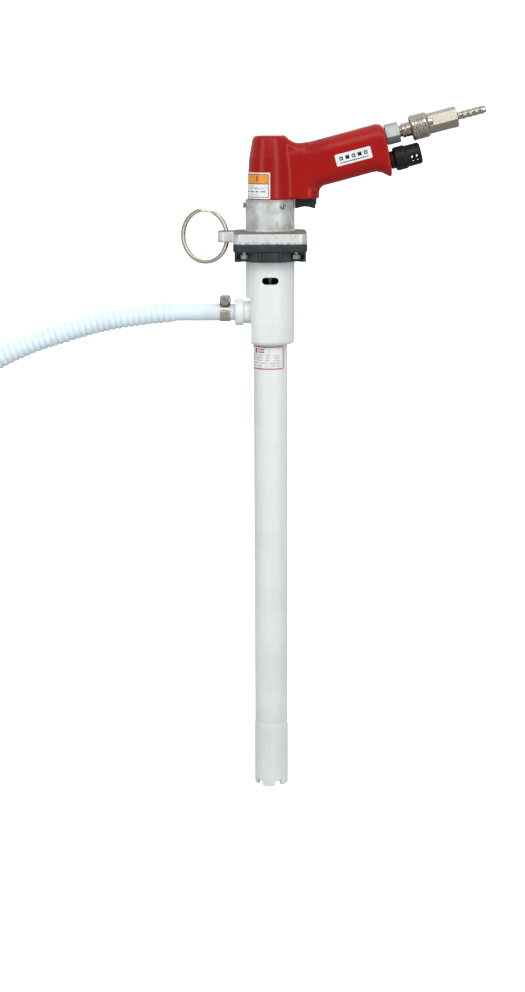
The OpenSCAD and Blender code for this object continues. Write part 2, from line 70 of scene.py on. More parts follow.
def addPiece(name, points, faces, material, sharp=None):
    mesh = bpy.data.meshes.new(name)
    mesh.from_pydata(np.asarray(points, float).tolist(), [], [list(map(int, f)) for f in faces])
    mesh.validate()
    return addMesh(name, mesh, material, sharp)


def addMesh(name, mesh, material, sharp=None):
    piece = bpy.data.objects.new(name, mesh)
    bpy.context.scene.collection.objects.link(piece)
    mesh.materials.clear()
    mesh.materials.append(material)
    mesh.polygons.foreach_set("use_smooth", [True] * len(mesh.polygons))
    if sharp:
        mesh.set_sharp_from_angle(angle=math.radians(sharp))
    mesh.update()
    return piece


def outward(piece, merge=1e-6):
    work = bmesh.new()
    work.from_mesh(piece.data)
    bmesh.ops.remove_doubles(work, verts=work.verts, dist=merge)
    bmesh.ops.recalc_face_normals(work, faces=work.faces)
    work.to_mesh(piece.data)
    work.free()
    piece.data.update()


def settle(piece, node, slotName, *others):
    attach(piece, bodyOfNode[node])
    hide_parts(node, *others)
    return piece


def roundMax(a, b, r):  # both at once, with a round edge
    return np.minimum(-r, np.maximum(a, b)) + np.hypot(np.maximum(a + r, 0), np.maximum(b + r, 0))


def roundMin(a, b, r):  # either, with a fillet between them
    return np.maximum(r, np.minimum(a, b)) - np.hypot(np.maximum(r - a, 0), np.maximum(r - b, 0))


def cut(body, tool, r=0.0):
    return roundMax(body, -tool, r) if r else np.maximum(body, -tool)


def bored(body, *holes, r=0.0):  # each hole is one field round its axis and one along it
    for around, along in holes:
        body = cut(body, np.maximum(around, along), r)
    return body


def roundBox(x, y, halfX, halfY, r):
    qx, qy = np.abs(x) - halfX + r, np.abs(y) - halfY + r
    return np.hypot(np.maximum(qx, 0), np.maximum(qy, 0)) + np.minimum(np.maximum(qx, qy), 0) - r


def between(value, low, high):
    return np.abs(value - (low + high) / 2) - (high - low) / 2


def outlineField(px, py, points):
    nearest, inside = None, np.zeros(np.shape(px), bool)
    for (ax, ay), (bx, by) in zip(points, points[1:] + points[:1]):
        ex, ey = bx - ax, by - ay
        wx, wy = px - ax, py - ay
        t = np.clip((wx * ex + wy * ey) / (ex * ex + ey * ey), 0, 1)
        gap = (wx - ex * t) ** 2 + (wy - ey * t) ** 2
        nearest = gap if nearest is None else np.minimum(nearest, gap)
        if ey:
            inside ^= ((ay > py) != (by > py)) & (wx < ex * wy / ey)
    return np.sqrt(nearest) * np.where(inside, -1, 1)


def surfaceFromField(name, field, low, high, cell, material, passes=3):
    low, high = np.array(low, float), np.array(high, float)
    n = np.ceil((high - low) / cell).astype(int) + 1
    grid = np.meshgrid(*[low[i] + cell * np.arange(n[i]) for i in range(3)], indexing="ij")
    values = field(*grid)
    values[values == 0] = 1e-6
    inside = values < 0
    total = np.zeros((*(n - 1), 3))
    count = np.zeros(n - 1)
    faces = []
    number = np.arange(np.prod(n - 1)).reshape(n - 1)

    def part(array, axis, start, stop):
        return array[tuple(slice(start, stop) if i == axis else slice(None) for i in range(3))]

    for axis in range(3):
        near, far = part(values, axis, None, -1), part(values, axis, 1, None)
        crossing = part(inside, axis, None, -1) != part(inside, axis, 1, None)
        where = np.argwhere(crossing)
        v0, v1 = near[crossing], far[crossing]
        points = low + cell * where
        points[:, axis] += cell * v0 / (v0 - v1)
        b, c = (axis + 1) % 3, (axis + 2) % 3
        corners = []
        for db, dc in ((-1, -1), (0, -1), (0, 0), (-1, 0)):
            spot = where.copy()
            spot[:, b] += db
            spot[:, c] += dc
            ok = np.all((spot >= 0) & (spot < n - 1), axis=1)
            np.add.at(total, tuple(spot[ok].T), points[ok])
            np.add.at(count, tuple(spot[ok].T), 1)
            corners.append(number[tuple(np.clip(spot, 0, n - 2).T)])
        quads = np.stack(corners, axis=1)
        quads[v0 > 0] = quads[v0 > 0][:, ::-1]
        faces.append(quads)
    faces = np.concatenate(faces)
    used, back = np.unique(faces, return_inverse=True)
    faces = back.reshape(faces.shape)
    points = (total.reshape(-1, 3)[used]) / count.reshape(-1)[used][:, None]
    step = cell * 0.15
    for _ in range(passes):  # slide each point onto the true surface
        here = field(*points.T)
        slope = np.stack([
            field(*(points + step * np.eye(3)[i]).T) - field(*(points - step * np.eye(3)[i]).T)
            for i in range(3)], axis=1) / (2 * step)
        move = -here[:, None] * slope / np.maximum((slope ** 2).sum(1), 0.25)[:, None]
        size = np.linalg.norm(move, axis=1)[:, None]
        points = points + move * np.minimum(1, 0.4 * cell / np.maximum(size, 1e-9))
    return addPiece(name, points * mm, faces, material)


def build(name, node, slotName, field, low, high, cell, material):
    piece = surfaceFromField(name, field, low, high, cell, material)
    print(name, "built,", len(piece.data.polygons), "faces")
    return settle(piece, node, slotName)


gripSet = {"height": 156.3, "tilt": 14.5, "airLine": 8.7, "exhaust": -14.7}
gripTurn = Matrix.Translation((0, 0, gripSet["height"] * mm)) @ Matrix.Rotation(
    -math.radians(gripSet["tilt"]), 4, "Y")
tiltCos, tiltSin = math.cos(math.radians(gripSet["tilt"])), math.sin(math.radians(gripSet["tilt"]))


def alongGrip(x, z):
    z = z - gripSet["height"]
    return x * tiltCos + z * tiltSin, z * tiltCos - x * tiltSin


def airLineTurn(height):
    return gripTurn @ Matrix.Translation((0, 0, height * mm)) @ Matrix.Rotation(math.pi / 2, 4, "Y")


def softened(profile, radius, steps=3):
    points = [Vector(p) for p in profile]
    out = []
    for i, p in enumerate(points):
        a, b = points[i - 1], points[(i + 1) % len(points)]
        reach = min(radius, 0.45 * (a - p).length, 0.45 * (b - p).length)
        start, end = p + (a - p).normalized() * reach, p + (b - p).normalized() * reach
        for t in [k / steps for k in range(steps + 1)]:
            out.append(tuple(start * (1 - t) ** 2 + p * 2 * t * (1 - t) + end * t * t))
    return out


def turnedPiece(name, points, faces, turn, material, sharp):
    mesh = bpy.data.meshes.new(name)
    mesh.from_pydata((np.array(points) * mm).tolist(), [], faces)
    mesh.transform(turn)
    piece = addMesh(name, mesh, material)
    outward(piece)
    piece.data.set_sharp_from_angle(angle=math.radians(sharp))
    return piece


def lathe(name, profile, turn, material, steps, soft):
    # profile is a closed loop of (radius, height) in mm
    profile = softened(profile, soft)
    angles = np.arange(steps) * 2 * math.pi / steps
    points = [(r * math.cos(a), r * math.sin(a), h) for r, h in profile for a in angles]
    n = len(profile)
    faces = [(i * steps + k, i * steps + (k + 1) % steps, ((i + 1) % n) * steps + (k + 1) % steps,
              ((i + 1) % n) * steps + k) for i in range(n) for k in range(steps)]
    return turnedPiece(name, points, faces, turn, material, 50)


# Shader tools


def tone(r, g, b):
    parts = [c / 255 for c in (r, g, b)]
    return tuple([c / 12.92 if c <= 0.04045 else ((c + 0.055) / 1.055) ** 2.4 for c in parts] + [1.0])


def addNode(tree, kind, settings=None, **values):
    node = tree.nodes.new(kind)
    for key, value in (settings or {}).items():
        setattr(node, key, value)
    for key, value in values.items():
        socket = node.inputs[int(key[1:])] if key[0] == "i" and key[1:].isdigit() else node.inputs[key]
        if isinstance(value, bpy.types.NodeSocket):
            tree.links.new(value, socket)
        else:
            socket.default_value = value
    return node


def maths(tree, operation, a, b=0.0, c=0.0, clamp=False):
    settings = {"operation": operation, "use_clamp": clamp}
    return addNode(tree, "ShaderNodeMath", settings, i0=a, i1=b, i2=c).outputs[0]


def times(tree, a, b):
    return maths(tree, "MULTIPLY", a, b)


def minus(tree, a, b):
    return maths(tree, "SUBTRACT", a, b)


def remap(tree, value, low, high, outLow=0.0, outHigh=1.0):
    ends = {"From Min": low, "From Max": high, "To Min": outLow, "To Max": outHigh}
    return addNode(tree, "ShaderNodeMapRange", {"interpolation_type": "SMOOTHSTEP"}, Value=value,
                   **ends).outputs[0]


def blendColour(tree, factor, a, b, kind="MIX"):
    settings = {"data_type": "RGBA", "blend_type": kind}
    return addNode(tree, "ShaderNodeMix", settings, i0=factor, i6=a, i7=b).outputs[2]


def noise(tree, vector, scale, detail=3.0, rough=0.55):
    return addNode(tree, "ShaderNodeTexNoise", Vector=vector, Scale=scale, Detail=detail,
                   Roughness=rough).outputs[0]


def stretched(tree, vector, by):
    return addNode(tree, "ShaderNodeVectorMath", {"operation": "MULTIPLY"}, i0=vector, i1=by).outputs[0]


def axes(tree, vector):
    return addNode(tree, "ShaderNodeSeparateXYZ", Vector=vector).outputs


def blotches(tree, g):
    broad = noise(tree, g["Vector"], g["Scale"], 5.0, 0.6)
    return [remap(tree, broad, g["Start"], g["End"])]


def surfaceGrain(tree, g):
    fine, coarse = noise(tree, g["Vector"], g["Fine"], 2.0), noise(tree, g["Vector"], g["Coarse"])
    mixed = addNode(tree, "ShaderNodeMix", {"data_type": "FLOAT"}, i0=g["Balance"], i2=fine, i3=coarse)
    return [mixed.outputs[0]]


def wearAndHollowShade(tree, g):
    shape = tree.nodes.new("ShaderNodeNewGeometry").outputs["Pointiness"]
    patchy = remap(tree, noise(tree, g["Vector"], g["Scale"], 4.0, 0.65), 0.4, 0.62)
    worn = times(tree, remap(tree, shape, g["Start"], g["End"]), patchy)
    # Worn follows the convex edges; Hollow marks the concave places, which the finishes darken as dirt with
    # painted shade
    return [worn, remap(tree, shape, 0.48, 0.42)]


def scratches(tree, g):
    lines = noise(tree, stretched(tree, g["Vector"], g["Stretch"]), 1.0)
    sharp = remap(tree, lines, g["Amount"], maths(tree, "ADD", g["Amount"], 0.05))
    return [times(tree, sharp, remap(tree, noise(tree, g["Vector"], 60.0, 2.0), 0.4, 0.6))]


def newGroup(fill, masks, values):
    tree = bpy.data.node_groups.new(fill.__name__, "ShaderNodeTree")
    tree.interface.new_socket("Vector", in_out="INPUT", socket_type="NodeSocketVector")
    for label, value in values.items():
        kind = "NodeSocketVector" if isinstance(value, tuple) else "NodeSocketFloat"
        tree.interface.new_socket(label, in_out="INPUT", socket_type=kind).default_value = value
    for label in masks:
        tree.interface.new_socket(label, in_out="OUTPUT", socket_type="NodeSocketFloat")
    given, out = tree.nodes.new("NodeGroupInput").outputs, tree.nodes.new("NodeGroupOutput").inputs
    for label, result in zip(masks, fill(tree, given)):
        tree.links.new(result, out[label])
    return tree


effects = {
    "blotches": newGroup(blotches, ["Mask"], {"Scale": 60.0, "Start": 0.45, "End": 0.7}),
    "grain": newGroup(surfaceGrain, ["Height"], {"Fine": 1500.0, "Coarse": 300.0, "Balance": 0.5}),
    "edges": newGroup(wearAndHollowShade, ["Worn", "Hollow"], {"Scale": 250.0, "Start": 0.53, "End": 0.6}),
    "scratches": newGroup(scratches, ["Mask"], {"Stretch": (40.0, 900.0, 900.0), "Amount": 0.66}),
}


def effect(tree, name, vector, **values):
    return addNode(tree, "ShaderNodeGroup", {"node_tree": effects[name]}, Vector=vector, **values).outputs


# What a finish has when its own settings don't say otherwise
plainFinish = {
    "shade": None, "shadeScale": 45.0, "shadeRange": (0.42, 0.68), "shadeAmount": 1.0,
    "worn": None, "wornStart": 0.54, "wornEnd": 0.62, "grime": None, "grimeAmount": 0.7,
    "scratch": None, "stretch": (40.0, 900.0, 900.0), "scratchAmount": 0.64,
    "metal": 0.0, "fine": 1500.0, "coarse": 300.0, "bump": 0.15, "bumpDistance": 0.0002,
    "specular": 0.5, "soft": 0.0, "softRadius": (0.004, 0.004, 0.004), "sheen": 0.0,
}


def finish(name, change=None, **given):
    s = dict(plainFinish, **given)
    material = bpy.data.materials.new(name)
    material.use_nodes = True
    tree = material.node_tree
    shader = tree.nodes["Principled BSDF"]
    place = tree.nodes.new("ShaderNodeTexCoord").outputs["Object"]
    low, high = s["shadeRange"]
    blotch = effect(tree, "blotches", place, Scale=s["shadeScale"], Start=low, End=high)[0]
    shade = tone(*(s["shade"] or [c * 0.86 for c in s["base"]]))
    colour = blendColour(tree, times(tree, blotch, s["shadeAmount"]), tone(*s["base"]), shade)
    height = effect(tree, "grain", place, Fine=s["fine"], Coarse=s["coarse"])[0]
    rough = remap(tree, height, 0.3, 0.7, *s["rough"])
    if s["scratch"]:
        lines = effect(tree, "scratches", place, Stretch=s["stretch"], Amount=s["scratchAmount"])[0]
        colour = blendColour(tree, lines, colour, tone(*s["scratch"]))
        height = minus(tree, height, times(tree, lines, 0.12))
    if s["worn"] or s["grime"]:
        worn, hollow = effect(tree, "edges", place, Start=s["wornStart"], End=s["wornEnd"])
        # Concave hollows are darkened: partly dirt, partly painted shade
        if s["grime"]:
            colour = blendColour(tree, times(tree, hollow, s["grimeAmount"]), colour, tone(*s["grime"]))
        if s["worn"]:
            colour = blendColour(tree, worn, colour, tone(*s["worn"]))
    if change:
        colour, rough = change(tree, place, colour, rough)
    bump = addNode(tree, "ShaderNodeBump", Strength=s["bump"], Distance=s["bumpDistance"], Height=height)
    for key, value in (("Base Color", colour), ("Roughness", rough), ("Normal", bump.outputs[0])):
        tree.links.new(value, shader.inputs[key])
    for key, value in (("Metallic", s["metal"]), ("Specular IOR Level", s["specular"]),
                       ("Subsurface Weight", s["soft"]), ("Subsurface Radius", s["softRadius"]),
                       ("Subsurface Scale", 1.0), ("Sheen Weight", s["sheen"])):
        shader.inputs[key].default_value = value
    return material


def machinedFaceAndShade(tree, place, colour, rough):
    # The square flange's sides are milled bright, its upward ledge gets painted shade, the rest is as cast
    x, y, z = axes(tree, place)
    side = maths(tree, "MAXIMUM", maths(tree, "ABSOLUTE", x), maths(tree, "ABSOLUTE", y))
    milled = times(tree, remap(tree, side, 0.0336, 0.0339), remap(tree, z, 0.1053, 0.1046))
    dirt = remap(tree, noise(tree, place, 180.0, 5.0, 0.7), 0.5, 0.72)
    bright = blendColour(tree, dirt, tone(222, 226, 224), tone(192, 192, 188))
    patches = remap(tree, noise(tree, place, 260.0), 0.42, 0.6)
    bright = blendColour(tree, times(tree, remap(tree, z, 0.0985, 0.0952), patches), bright,
                         tone(166, 160, 150))
    colour = blendColour(tree, milled, colour, bright)
    # Painted shade on the upward faces of the flange ledge below the housing
    up = axes(tree, tree.nodes.new("ShaderNodeNewGeometry").outputs["Normal"])[2]
    shadedLedge = times(tree, remap(tree, up, 0.25, 0.8), remap(tree, z, 0.1115, 0.1075))
    colour = blendColour(tree, times(tree, shadedLedge, 0.8), colour, tone(96, 90, 82))
    rough = maths(tree, "ADD", rough, times(tree, shadedLedge, 0.5), clamp=True)
    collar = remap(tree, z, 0.1315, 0.1345, 0.0, 0.5)  # painted shade and a painted red reflection just under the red housing
    return blendColour(tree, collar, colour, tone(120, 84, 78)), rough


def waveMask(tree, along, frequency, start, amount):
    return remap(tree, maths(tree, "SINE", times(tree, along, frequency)), start, 1.0, 0.0, amount)


def ringGrooves(tree, place, colour, rough):
    # Turned parts carry faint lathe rings with dirt in them, along the air line's axis
    x, y, z = axes(tree, place)
    along = maths(tree, "ADD", times(tree, x, tiltCos), times(tree, z, tiltSin))
    return blendColour(tree, waveMask(tree, along, 2300.0, 0.2, 0.14), colour, tone(120, 108, 88)), rough


def fluteHighlights(tree, place, colour, rough):
    # Painted highlights: faint lighter stripes where the trigger's flutes would catch the light
    mask = waveMask(tree, axes(tree, place)[0], 2400.0, 0.3, 0.16)
    return blendColour(tree, mask, colour, tone(84, 88, 90)), rough


def streaksAndChamberShade(tree, place, colour, rough):
    # Long faint streaks down the moulded parts, and painted shade inside the seal chamber
    lines = noise(tree, stretched(tree, place, (320.0, 320.0, 14.0)), 1.0)
    colour = blendColour(tree, remap(tree, lines, 0.52, 0.75, 0.0, 0.5), colour, tone(214, 219, 217))
    # Painted shade: the inside of the seal chamber, seen through the slot, is painted near-black
    level = stretched(tree, place, (1.0, 1.0, 0.0))
    reach = addNode(tree, "ShaderNodeVectorMath", {"operation": "LENGTH"}, i0=level).outputs["Value"]
    inner = times(tree, remap(tree, reach, 0.0178, 0.0172), remap(tree, axes(tree, place)[2], 0.0488, 0.0494))
    return blendColour(tree, inner, colour, tone(22, 23, 24)), rough


def ribbed(tree, place, colour, rough):
    # Painted shade: the silhouette edges and the valleys between the ribs are darker than the crests
    rimShade = addNode(tree, "ShaderNodeLayerWeight", Blend=0.35).outputs["Facing"]
    colour = blendColour(tree, remap(tree, rimShade, 0.5, 0.9, 0.0, 0.9), colour, tone(132, 122, 117))
    # painted shade in the valleys of the corrugation
    valley = addNode(tree, "ShaderNodeAttribute", {"attribute_name": "valley"}).outputs["Fac"]
    return blendColour(tree, remap(tree, valley, 0.3, 0.95, 0.0, 0.4), colour, tone(196, 214, 224)), rough


# In the finishes below, the colour given for hollows is dirt together with painted shade
redPaint = finish("redPaint", base=(160, 17, 13), shade=(150, 15, 12), shadeScale=30.0,
                  worn=(180, 60, 54), wornStart=0.6, wornEnd=0.7, rough=(0.28, 0.36), fine=420.0,
                  coarse=140.0, bump=0.04, bumpDistance=0.0003, specular=0.22)
castAluminium = finish("castAluminium", machinedFaceAndShade, base=(208, 212, 208), shade=(176, 177, 171),
                       shadeScale=90.0, worn=(224, 226, 224), grime=(104, 98, 88), metal=0.45,
                       rough=(0.42, 0.6), fine=900.0, coarse=240.0, bump=0.18, bumpDistance=0.0003,
                       scratch=(218, 221, 218), scratchAmount=0.68, stretch=(500.0, 500.0, 45.0))
flangePlastic = finish("flangePlastic", base=(43, 51, 54), shade=(54, 62, 65), shadeScale=120.0,
                       worn=(84, 92, 94), grime=(26, 30, 32), rough=(0.4, 0.55), specular=0.3)
triggerPlastic = finish("triggerPlastic", fluteHighlights, base=(20, 21, 23), shade=(30, 32, 34),
                        rough=(0.4, 0.55), bump=0.1, specular=0.3)
mufflerPlastic = finish("mufflerPlastic", base=(17, 17, 18), shade=(26, 25, 26), shadeScale=160.0,
                        rough=(0.32, 0.5), bump=0.12, worn=(58, 56, 55), grime=(8, 8, 9), specular=0.22)
ringSteel = finish("ringSteel", base=(186, 180, 166), shade=(156, 148, 132), shadeScale=60.0,
                   shadeAmount=0.4, metal=0.85, rough=(0.28, 0.36), fine=400.0, coarse=100.0, bump=0.01)
zincPlate = finish("zincPlate", base=(166, 174, 169), shade=(146, 156, 151), shadeScale=90.0, metal=0.7,
                   rough=(0.36, 0.48), fine=500.0, coarse=150.0, bump=0.04, grime=(92, 90, 78),
                   worn=(196, 202, 198))
screwSteel = finish("screwSteel", base=(170, 176, 172), shade=(132, 138, 134), shadeScale=300.0,
                    metal=0.7, rough=(0.3, 0.42), bump=0.05, grime=(24, 24, 24), grimeAmount=1.0)
nickelPlate = finish("nickelPlate", ringGrooves, base=(168, 163, 151), shade=(146, 138, 122),
                     shadeAmount=0.5, metal=0.85, rough=(0.18, 0.24), fine=400.0, coarse=100.0, bump=0.01)
stainless = finish("stainless", base=(190, 188, 178), shade=(160, 156, 144), shadeScale=80.0,
                   shadeAmount=0.5, metal=0.85, rough=(0.28, 0.38), fine=400.0, coarse=100.0, bump=0.01,
                   grime=(34, 30, 26), grimeAmount=1.0)
darkSteel = finish("darkSteel", base=(60, 55, 48), shade=(40, 37, 32), metal=0.7, rough=(0.4, 0.55),
                   shadeScale=120.0, bump=0.05)
whitePlastic = finish("whitePlastic", streaksAndChamberShade, base=(228, 233, 231), shade=(220, 226, 224),
                      shadeScale=22.0, worn=(236, 240, 239), grime=(186, 190, 186), grimeAmount=0.5,
                      rough=(0.38, 0.5), fine=1200.0, coarse=120.0, bump=0.08, soft=0.12,
                      softRadius=(0.004, 0.004, 0.003))
hosePlastic = finish("hosePlastic", ribbed, base=(226, 241, 249), shade=(218, 235, 245), shadeScale=35.0,
                     rough=(0.3, 0.42), bump=0.08, soft=0.35, softRadius=(0.003, 0.004, 0.005),
                     specular=0.4)
print("finishes built")

# Discharge hose: smooth cuff, corrugated run down to the surface, and a hank in two layers

hoseSet = {"radius": 9.6, "cuffRadius": 7.85, "start": -33.5, "cuffEnd": -89, "height": 29.5, "pitch": 5.8,
           "valley": 1.15, "step": 0.7, "sides": 26, "smoothEnd": 50, "hankRadius": 57.6, "hankNear": -352,
           "hankFar": -510, "upper": -410.2, "lower": -429.4, "bore": 7.0, "fade": 6,
           "floor": -439.0}
hoseRoute = [
    (-89, 0, 29.5), (-110, 0, 28.2), (-135, 0, 25), (-162, 0, 20), (-192, 0, 11.5), (-224, 0, 1.2),
    (-255, 0, -12.4), (-284, 2, -29.4), (-309, 6, -55), (-328, 12, -85), (-340, 20, -122), (-346, 28, -165),
    (-349, 36, -210), (-350, 43, -255), (-352, 49, -298), (-358, 54, -336), (-372, 57, -369),
    (-396, 57.6, -396), (-424, 57.6, -409), (-450, 57.6, -410.2)]


def hankTurns(s):
    r, near, far = s["hankRadius"], s["hankNear"], s["hankFar"]

    def bend(centre, first, height, sweep=180):
        return [(centre + r * math.cos(a), r * math.sin(a), height)
                for a in np.radians(first + np.linspace(0, sweep, 15))]

    def run(a, b, y, height):
        return [(x, y, height) for x in np.linspace(a, b, 7)[1:-1]]

    points = [(x, r, s["upper"]) for x in (-470, -490)] + bend(far, 90, s["upper"])
    points += run(far, near, -r, s["upper"]) + bend(near, -90, s["upper"])
    for t in np.linspace(0, 1, 7)[1:]:
        ease = t * t * (3 - 2 * t)
        points.append((near - 72 * t, r, s["upper"] + (s["lower"] - s["upper"]) * ease))
    points += [(x, r, s["lower"]) for x in (-447, -470, -490)] + bend(far, 90, s["lower"])
    points += run(far, near, -r, s["lower"]) + bend(near, -90, s["lower"], 150)
    return points


def smoothRoute(points, step):
    points = np.array(points, float)
    ends = np.vstack([2 * points[0] - points[1], points, 2 * points[-1] - points[-2]])
    out = []
    for i in range(len(points) - 1):
        p0, p1, p2, p3 = ends[i:i + 4]
        d = [max(np.linalg.norm(b - a), 1e-6) ** 0.5 for a, b in ((p0, p1), (p1, p2), (p2, p3))]
        m1 = (p1 - p0) / d[0] - (p2 - p0) / (d[0] + d[1]) + (p2 - p1) / d[1]
        m2 = (p2 - p1) / d[1] - (p3 - p1) / (d[1] + d[2]) + (p3 - p2) / d[2]
        m1, m2 = m1 * d[1], m2 * d[1]
        count = max(2, int(np.linalg.norm(p2 - p1) / step))
        for t in np.arange(count) / count:
            out.append((2 * t ** 3 - 3 * t ** 2 + 1) * p1 + (t ** 3 - 2 * t ** 2 + t) * m1
                       + (3 * t ** 2 - 2 * t ** 3) * p2 + (t ** 3 - t ** 2) * m2)
    out.append(points[-1])
    return np.array(out)


def nodesTree(name, floats, **others):
    tree = bpy.data.node_groups.new(name, "GeometryNodeTree")
    kinds = {"Geometry": "Geometry", **dict.fromkeys(floats, "Float"), **others, "Material": "Material"}
    for label, kind in kinds.items():
        tree.interface.new_socket(label, in_out="INPUT", socket_type="NodeSocket" + kind)
    tree.interface.new_socket("Geometry", in_out="OUTPUT", socket_type="NodeSocketGeometry")
    return tree, tree.nodes.new("NodeGroupInput").outputs, tree.nodes.new("NodeGroupOutput").inputs


def lastNodes(tree, g, out, geometry):
    real = addNode(tree, "GeometryNodeRealizeInstances", i0=geometry)
    coloured = addNode(tree, "GeometryNodeSetMaterial", Geometry=real.outputs[0], Material=g["Material"])
    tree.links.new(coloured.outputs[0], out["Geometry"])
    return tree


def growNodes(name, start, tree, values, material):
    grown = bpy.data.objects.new(name + "Start", start)
    bpy.context.scene.collection.objects.link(grown)
    modifier = grown.modifiers.new("nodes", "NODES")
    modifier.node_group = tree
    for item in tree.interface.items_tree:
        if item.item_type == "SOCKET" and item.in_out == "INPUT" and item.name in values:
            modifier[item.identifier] = values[item.name]
    graph = bpy.context.evaluated_depsgraph_get()
    mesh = bpy.data.meshes.new_from_object(grown.evaluated_get(graph), depsgraph=graph)
    bpy.data.objects.remove(grown)
    mesh.name = name
    return addMesh(name, mesh, material)


def corrugatedTree():
    tree, g, out = nodesTree("corrugatedHose", [
        "Radius", "Cuff Radius", "Cuff Length", "Pitch", "Valley", "Plain End", "Fade", "Step"], Sides="Int")
    line = addNode(tree, "GeometryNodeMeshToCurve", Mesh=g["Geometry"]).outputs[0]
    line = addNode(tree, "GeometryNodeResampleCurve", {"mode": "LENGTH"}, Curve=line,
                   Length=g["Step"]).outputs[0]
    along = tree.nodes.new("GeometryNodeSplineParameter").outputs["Length"]
    whole = tree.nodes.new("GeometryNodeSplineLength").outputs[0]
    past = minus(tree, along, g["Cuff Length"])
    turn = times(tree, maths(tree, "DIVIDE", past, g["Pitch"]), 2 * math.pi)
    wave = maths(tree, "MULTIPLY_ADD", maths(tree, "COSINE", turn), -0.5, 0.5)
    hollow = minus(tree, 1.0, maths(tree, "POWER", wave, 0.55))
    fromCuff = maths(tree, "DIVIDE", past, g["Fade"], clamp=True)
    left = minus(tree, minus(tree, whole, along), g["Plain End"])
    fromEnd = maths(tree, "DIVIDE", left, g["Fade"], clamp=True)
    ribs = minus(tree, g["Radius"], times(tree, times(tree, g["Valley"], hollow), fromEnd))
    gain = times(tree, minus(tree, ribs, g["Cuff Radius"]), fromCuff)
    line = addNode(tree, "GeometryNodeSetCurveRadius", Curve=line,
                   Radius=maths(tree, "ADD", g["Cuff Radius"], gain)).outputs[0]
    line = addNode(tree, "GeometryNodeStoreNamedAttribute", {"data_type": "FLOAT", "domain": "POINT"},
                   Geometry=line, Name="valley",
                   Value=times(tree, times(tree, fromCuff, fromEnd), hollow)).outputs[0]
    circle = addNode(tree, "GeometryNodeCurvePrimitiveCircle", Resolution=g["Sides"], Radius=1.0).outputs[0]
    tube = addNode(tree, "GeometryNodeCurveToMesh", **{"Curve": line, "Profile Curve": circle})
    if "Scale" in tube.inputs:
        tree.links.new(tree.nodes.new("GeometryNodeInputRadius").outputs[0], tube.inputs["Scale"])
    return lastNodes(tree, g, out, tube.outputs[0])


def closeHoseEnds(piece, path, bore):
    work = bmesh.new()
    work.from_mesh(piece.data)
    bmesh.ops.remove_doubles(work, verts=work.verts, dist=1e-6)
    for end, inwards in ((path[0], path[1] - path[0]), (path[-1], path[-2] - path[-1])):
        centre, way = Vector(end), Vector(inwards).normalized()
        rim = [e for e in work.edges if e.is_boundary and (e.verts[0].co - centre).length < 0.03]
        for size, depth in ((0.96, 0.0), (bore, 0.0), (bore, 0.004), (bore, 0.03)):
            grown = bmesh.ops.extrude_edge_only(work, edges=rim)["geom"]
            rim = [g for g in grown if isinstance(g, bmesh.types.BMEdge) and g.is_boundary]
            verts = {v for e in rim for v in e.verts}
            for v in verts:
                out = v.co - centre
                out -= way * out.dot(way)
                v.co = centre + way * depth + out.normalized() * (size if size < 0.1 else out.length * size)
        bmesh.ops.contextual_create(work, geom=rim)
    bmesh.ops.recalc_face_normals(work, faces=work.faces)
    work.to_mesh(piece.data)
    work.free()
    piece.data.polygons.foreach_set("use_smooth", [True] * len(piece.data.polygons))
    piece.data.set_sharp_from_angle(angle=math.radians(60))


def addHose(s):
    first = [(x, 0, s["height"]) for x in (s["start"], -52, -70)]
    path = smoothRoute(first + hoseRoute + hankTurns(s), 4) * mm
    start = bpy.data.meshes.new("hosePath")
    start.from_pydata(path.tolist(), [(i, i + 1) for i in range(len(path) - 1)], [])
    sizes = {"Radius": s["radius"], "Cuff Radius": s["cuffRadius"], "Cuff Length": s["start"] - s["cuffEnd"],
             "Pitch": s["pitch"], "Valley": s["valley"], "Plain End": s["smoothEnd"], "Fade": s["fade"],
             "Step": s["step"]}
    values = dict({key: size * mm for key, size in sizes.items()}, Sides=s["sides"], Material=hosePlastic)
    hose = growNodes("dischargeHose", start, corrugatedTree(), values, hosePlastic)
    closeHoseEnds(hose, path, s["bore"] * mm)
    length = float(np.linalg.norm(np.diff(path, axis=0), axis=1).sum())
    settle(hose, "hose_run", "hose_plastic", "hose_cuff", "hose_hank")
    print("hose built,", round(length, 4), "m long,", len(hose.data.polygons), "faces")
    return hose, path, length


hose, hosePath, hoseLength = addHose(hoseSet)

# Grip housing: motor barrel, grip bar with its flared end, and the boss over the trigger

barrelOutline = [(-5, 135.2), (20.8, 135.2), (20.2, 160), (19.4, 173), (17.8, 182), (16.6, 188.3),
                 (16, 190.6), (14.8, 192.2), (13.3, 193.1), (11.6, 193.3), (-5, 193.3)]
saddleOutline = [(2, 170), (34, 170), (34, 186.3), (30, 186.15), (26, 186.3), (22, 187.4), (18, 189.5),
                 (14.5, 191.6), (12.6, 192.6), (9, 189), (2, 184)]
webSide = ((30, 12.1), (34, 12.7), (48, 15.6), (54, 16.1))  # half width at each x
gripBarSet = {"half": 21.1, "width": 16, "corner": 13.5, "topFrom": 105.0, "topRound": 8.0,
              "under": [(60, -21.1), (91.7, -20.9), (96.8, -21.2), (101.4, -23.4), (106.4, -27.8),
                        (109.3, -29.6)],
              "end": [(-30, 109.3), (-20.7, 110.8), (16.8, 113.1), (22, 113.4)]}


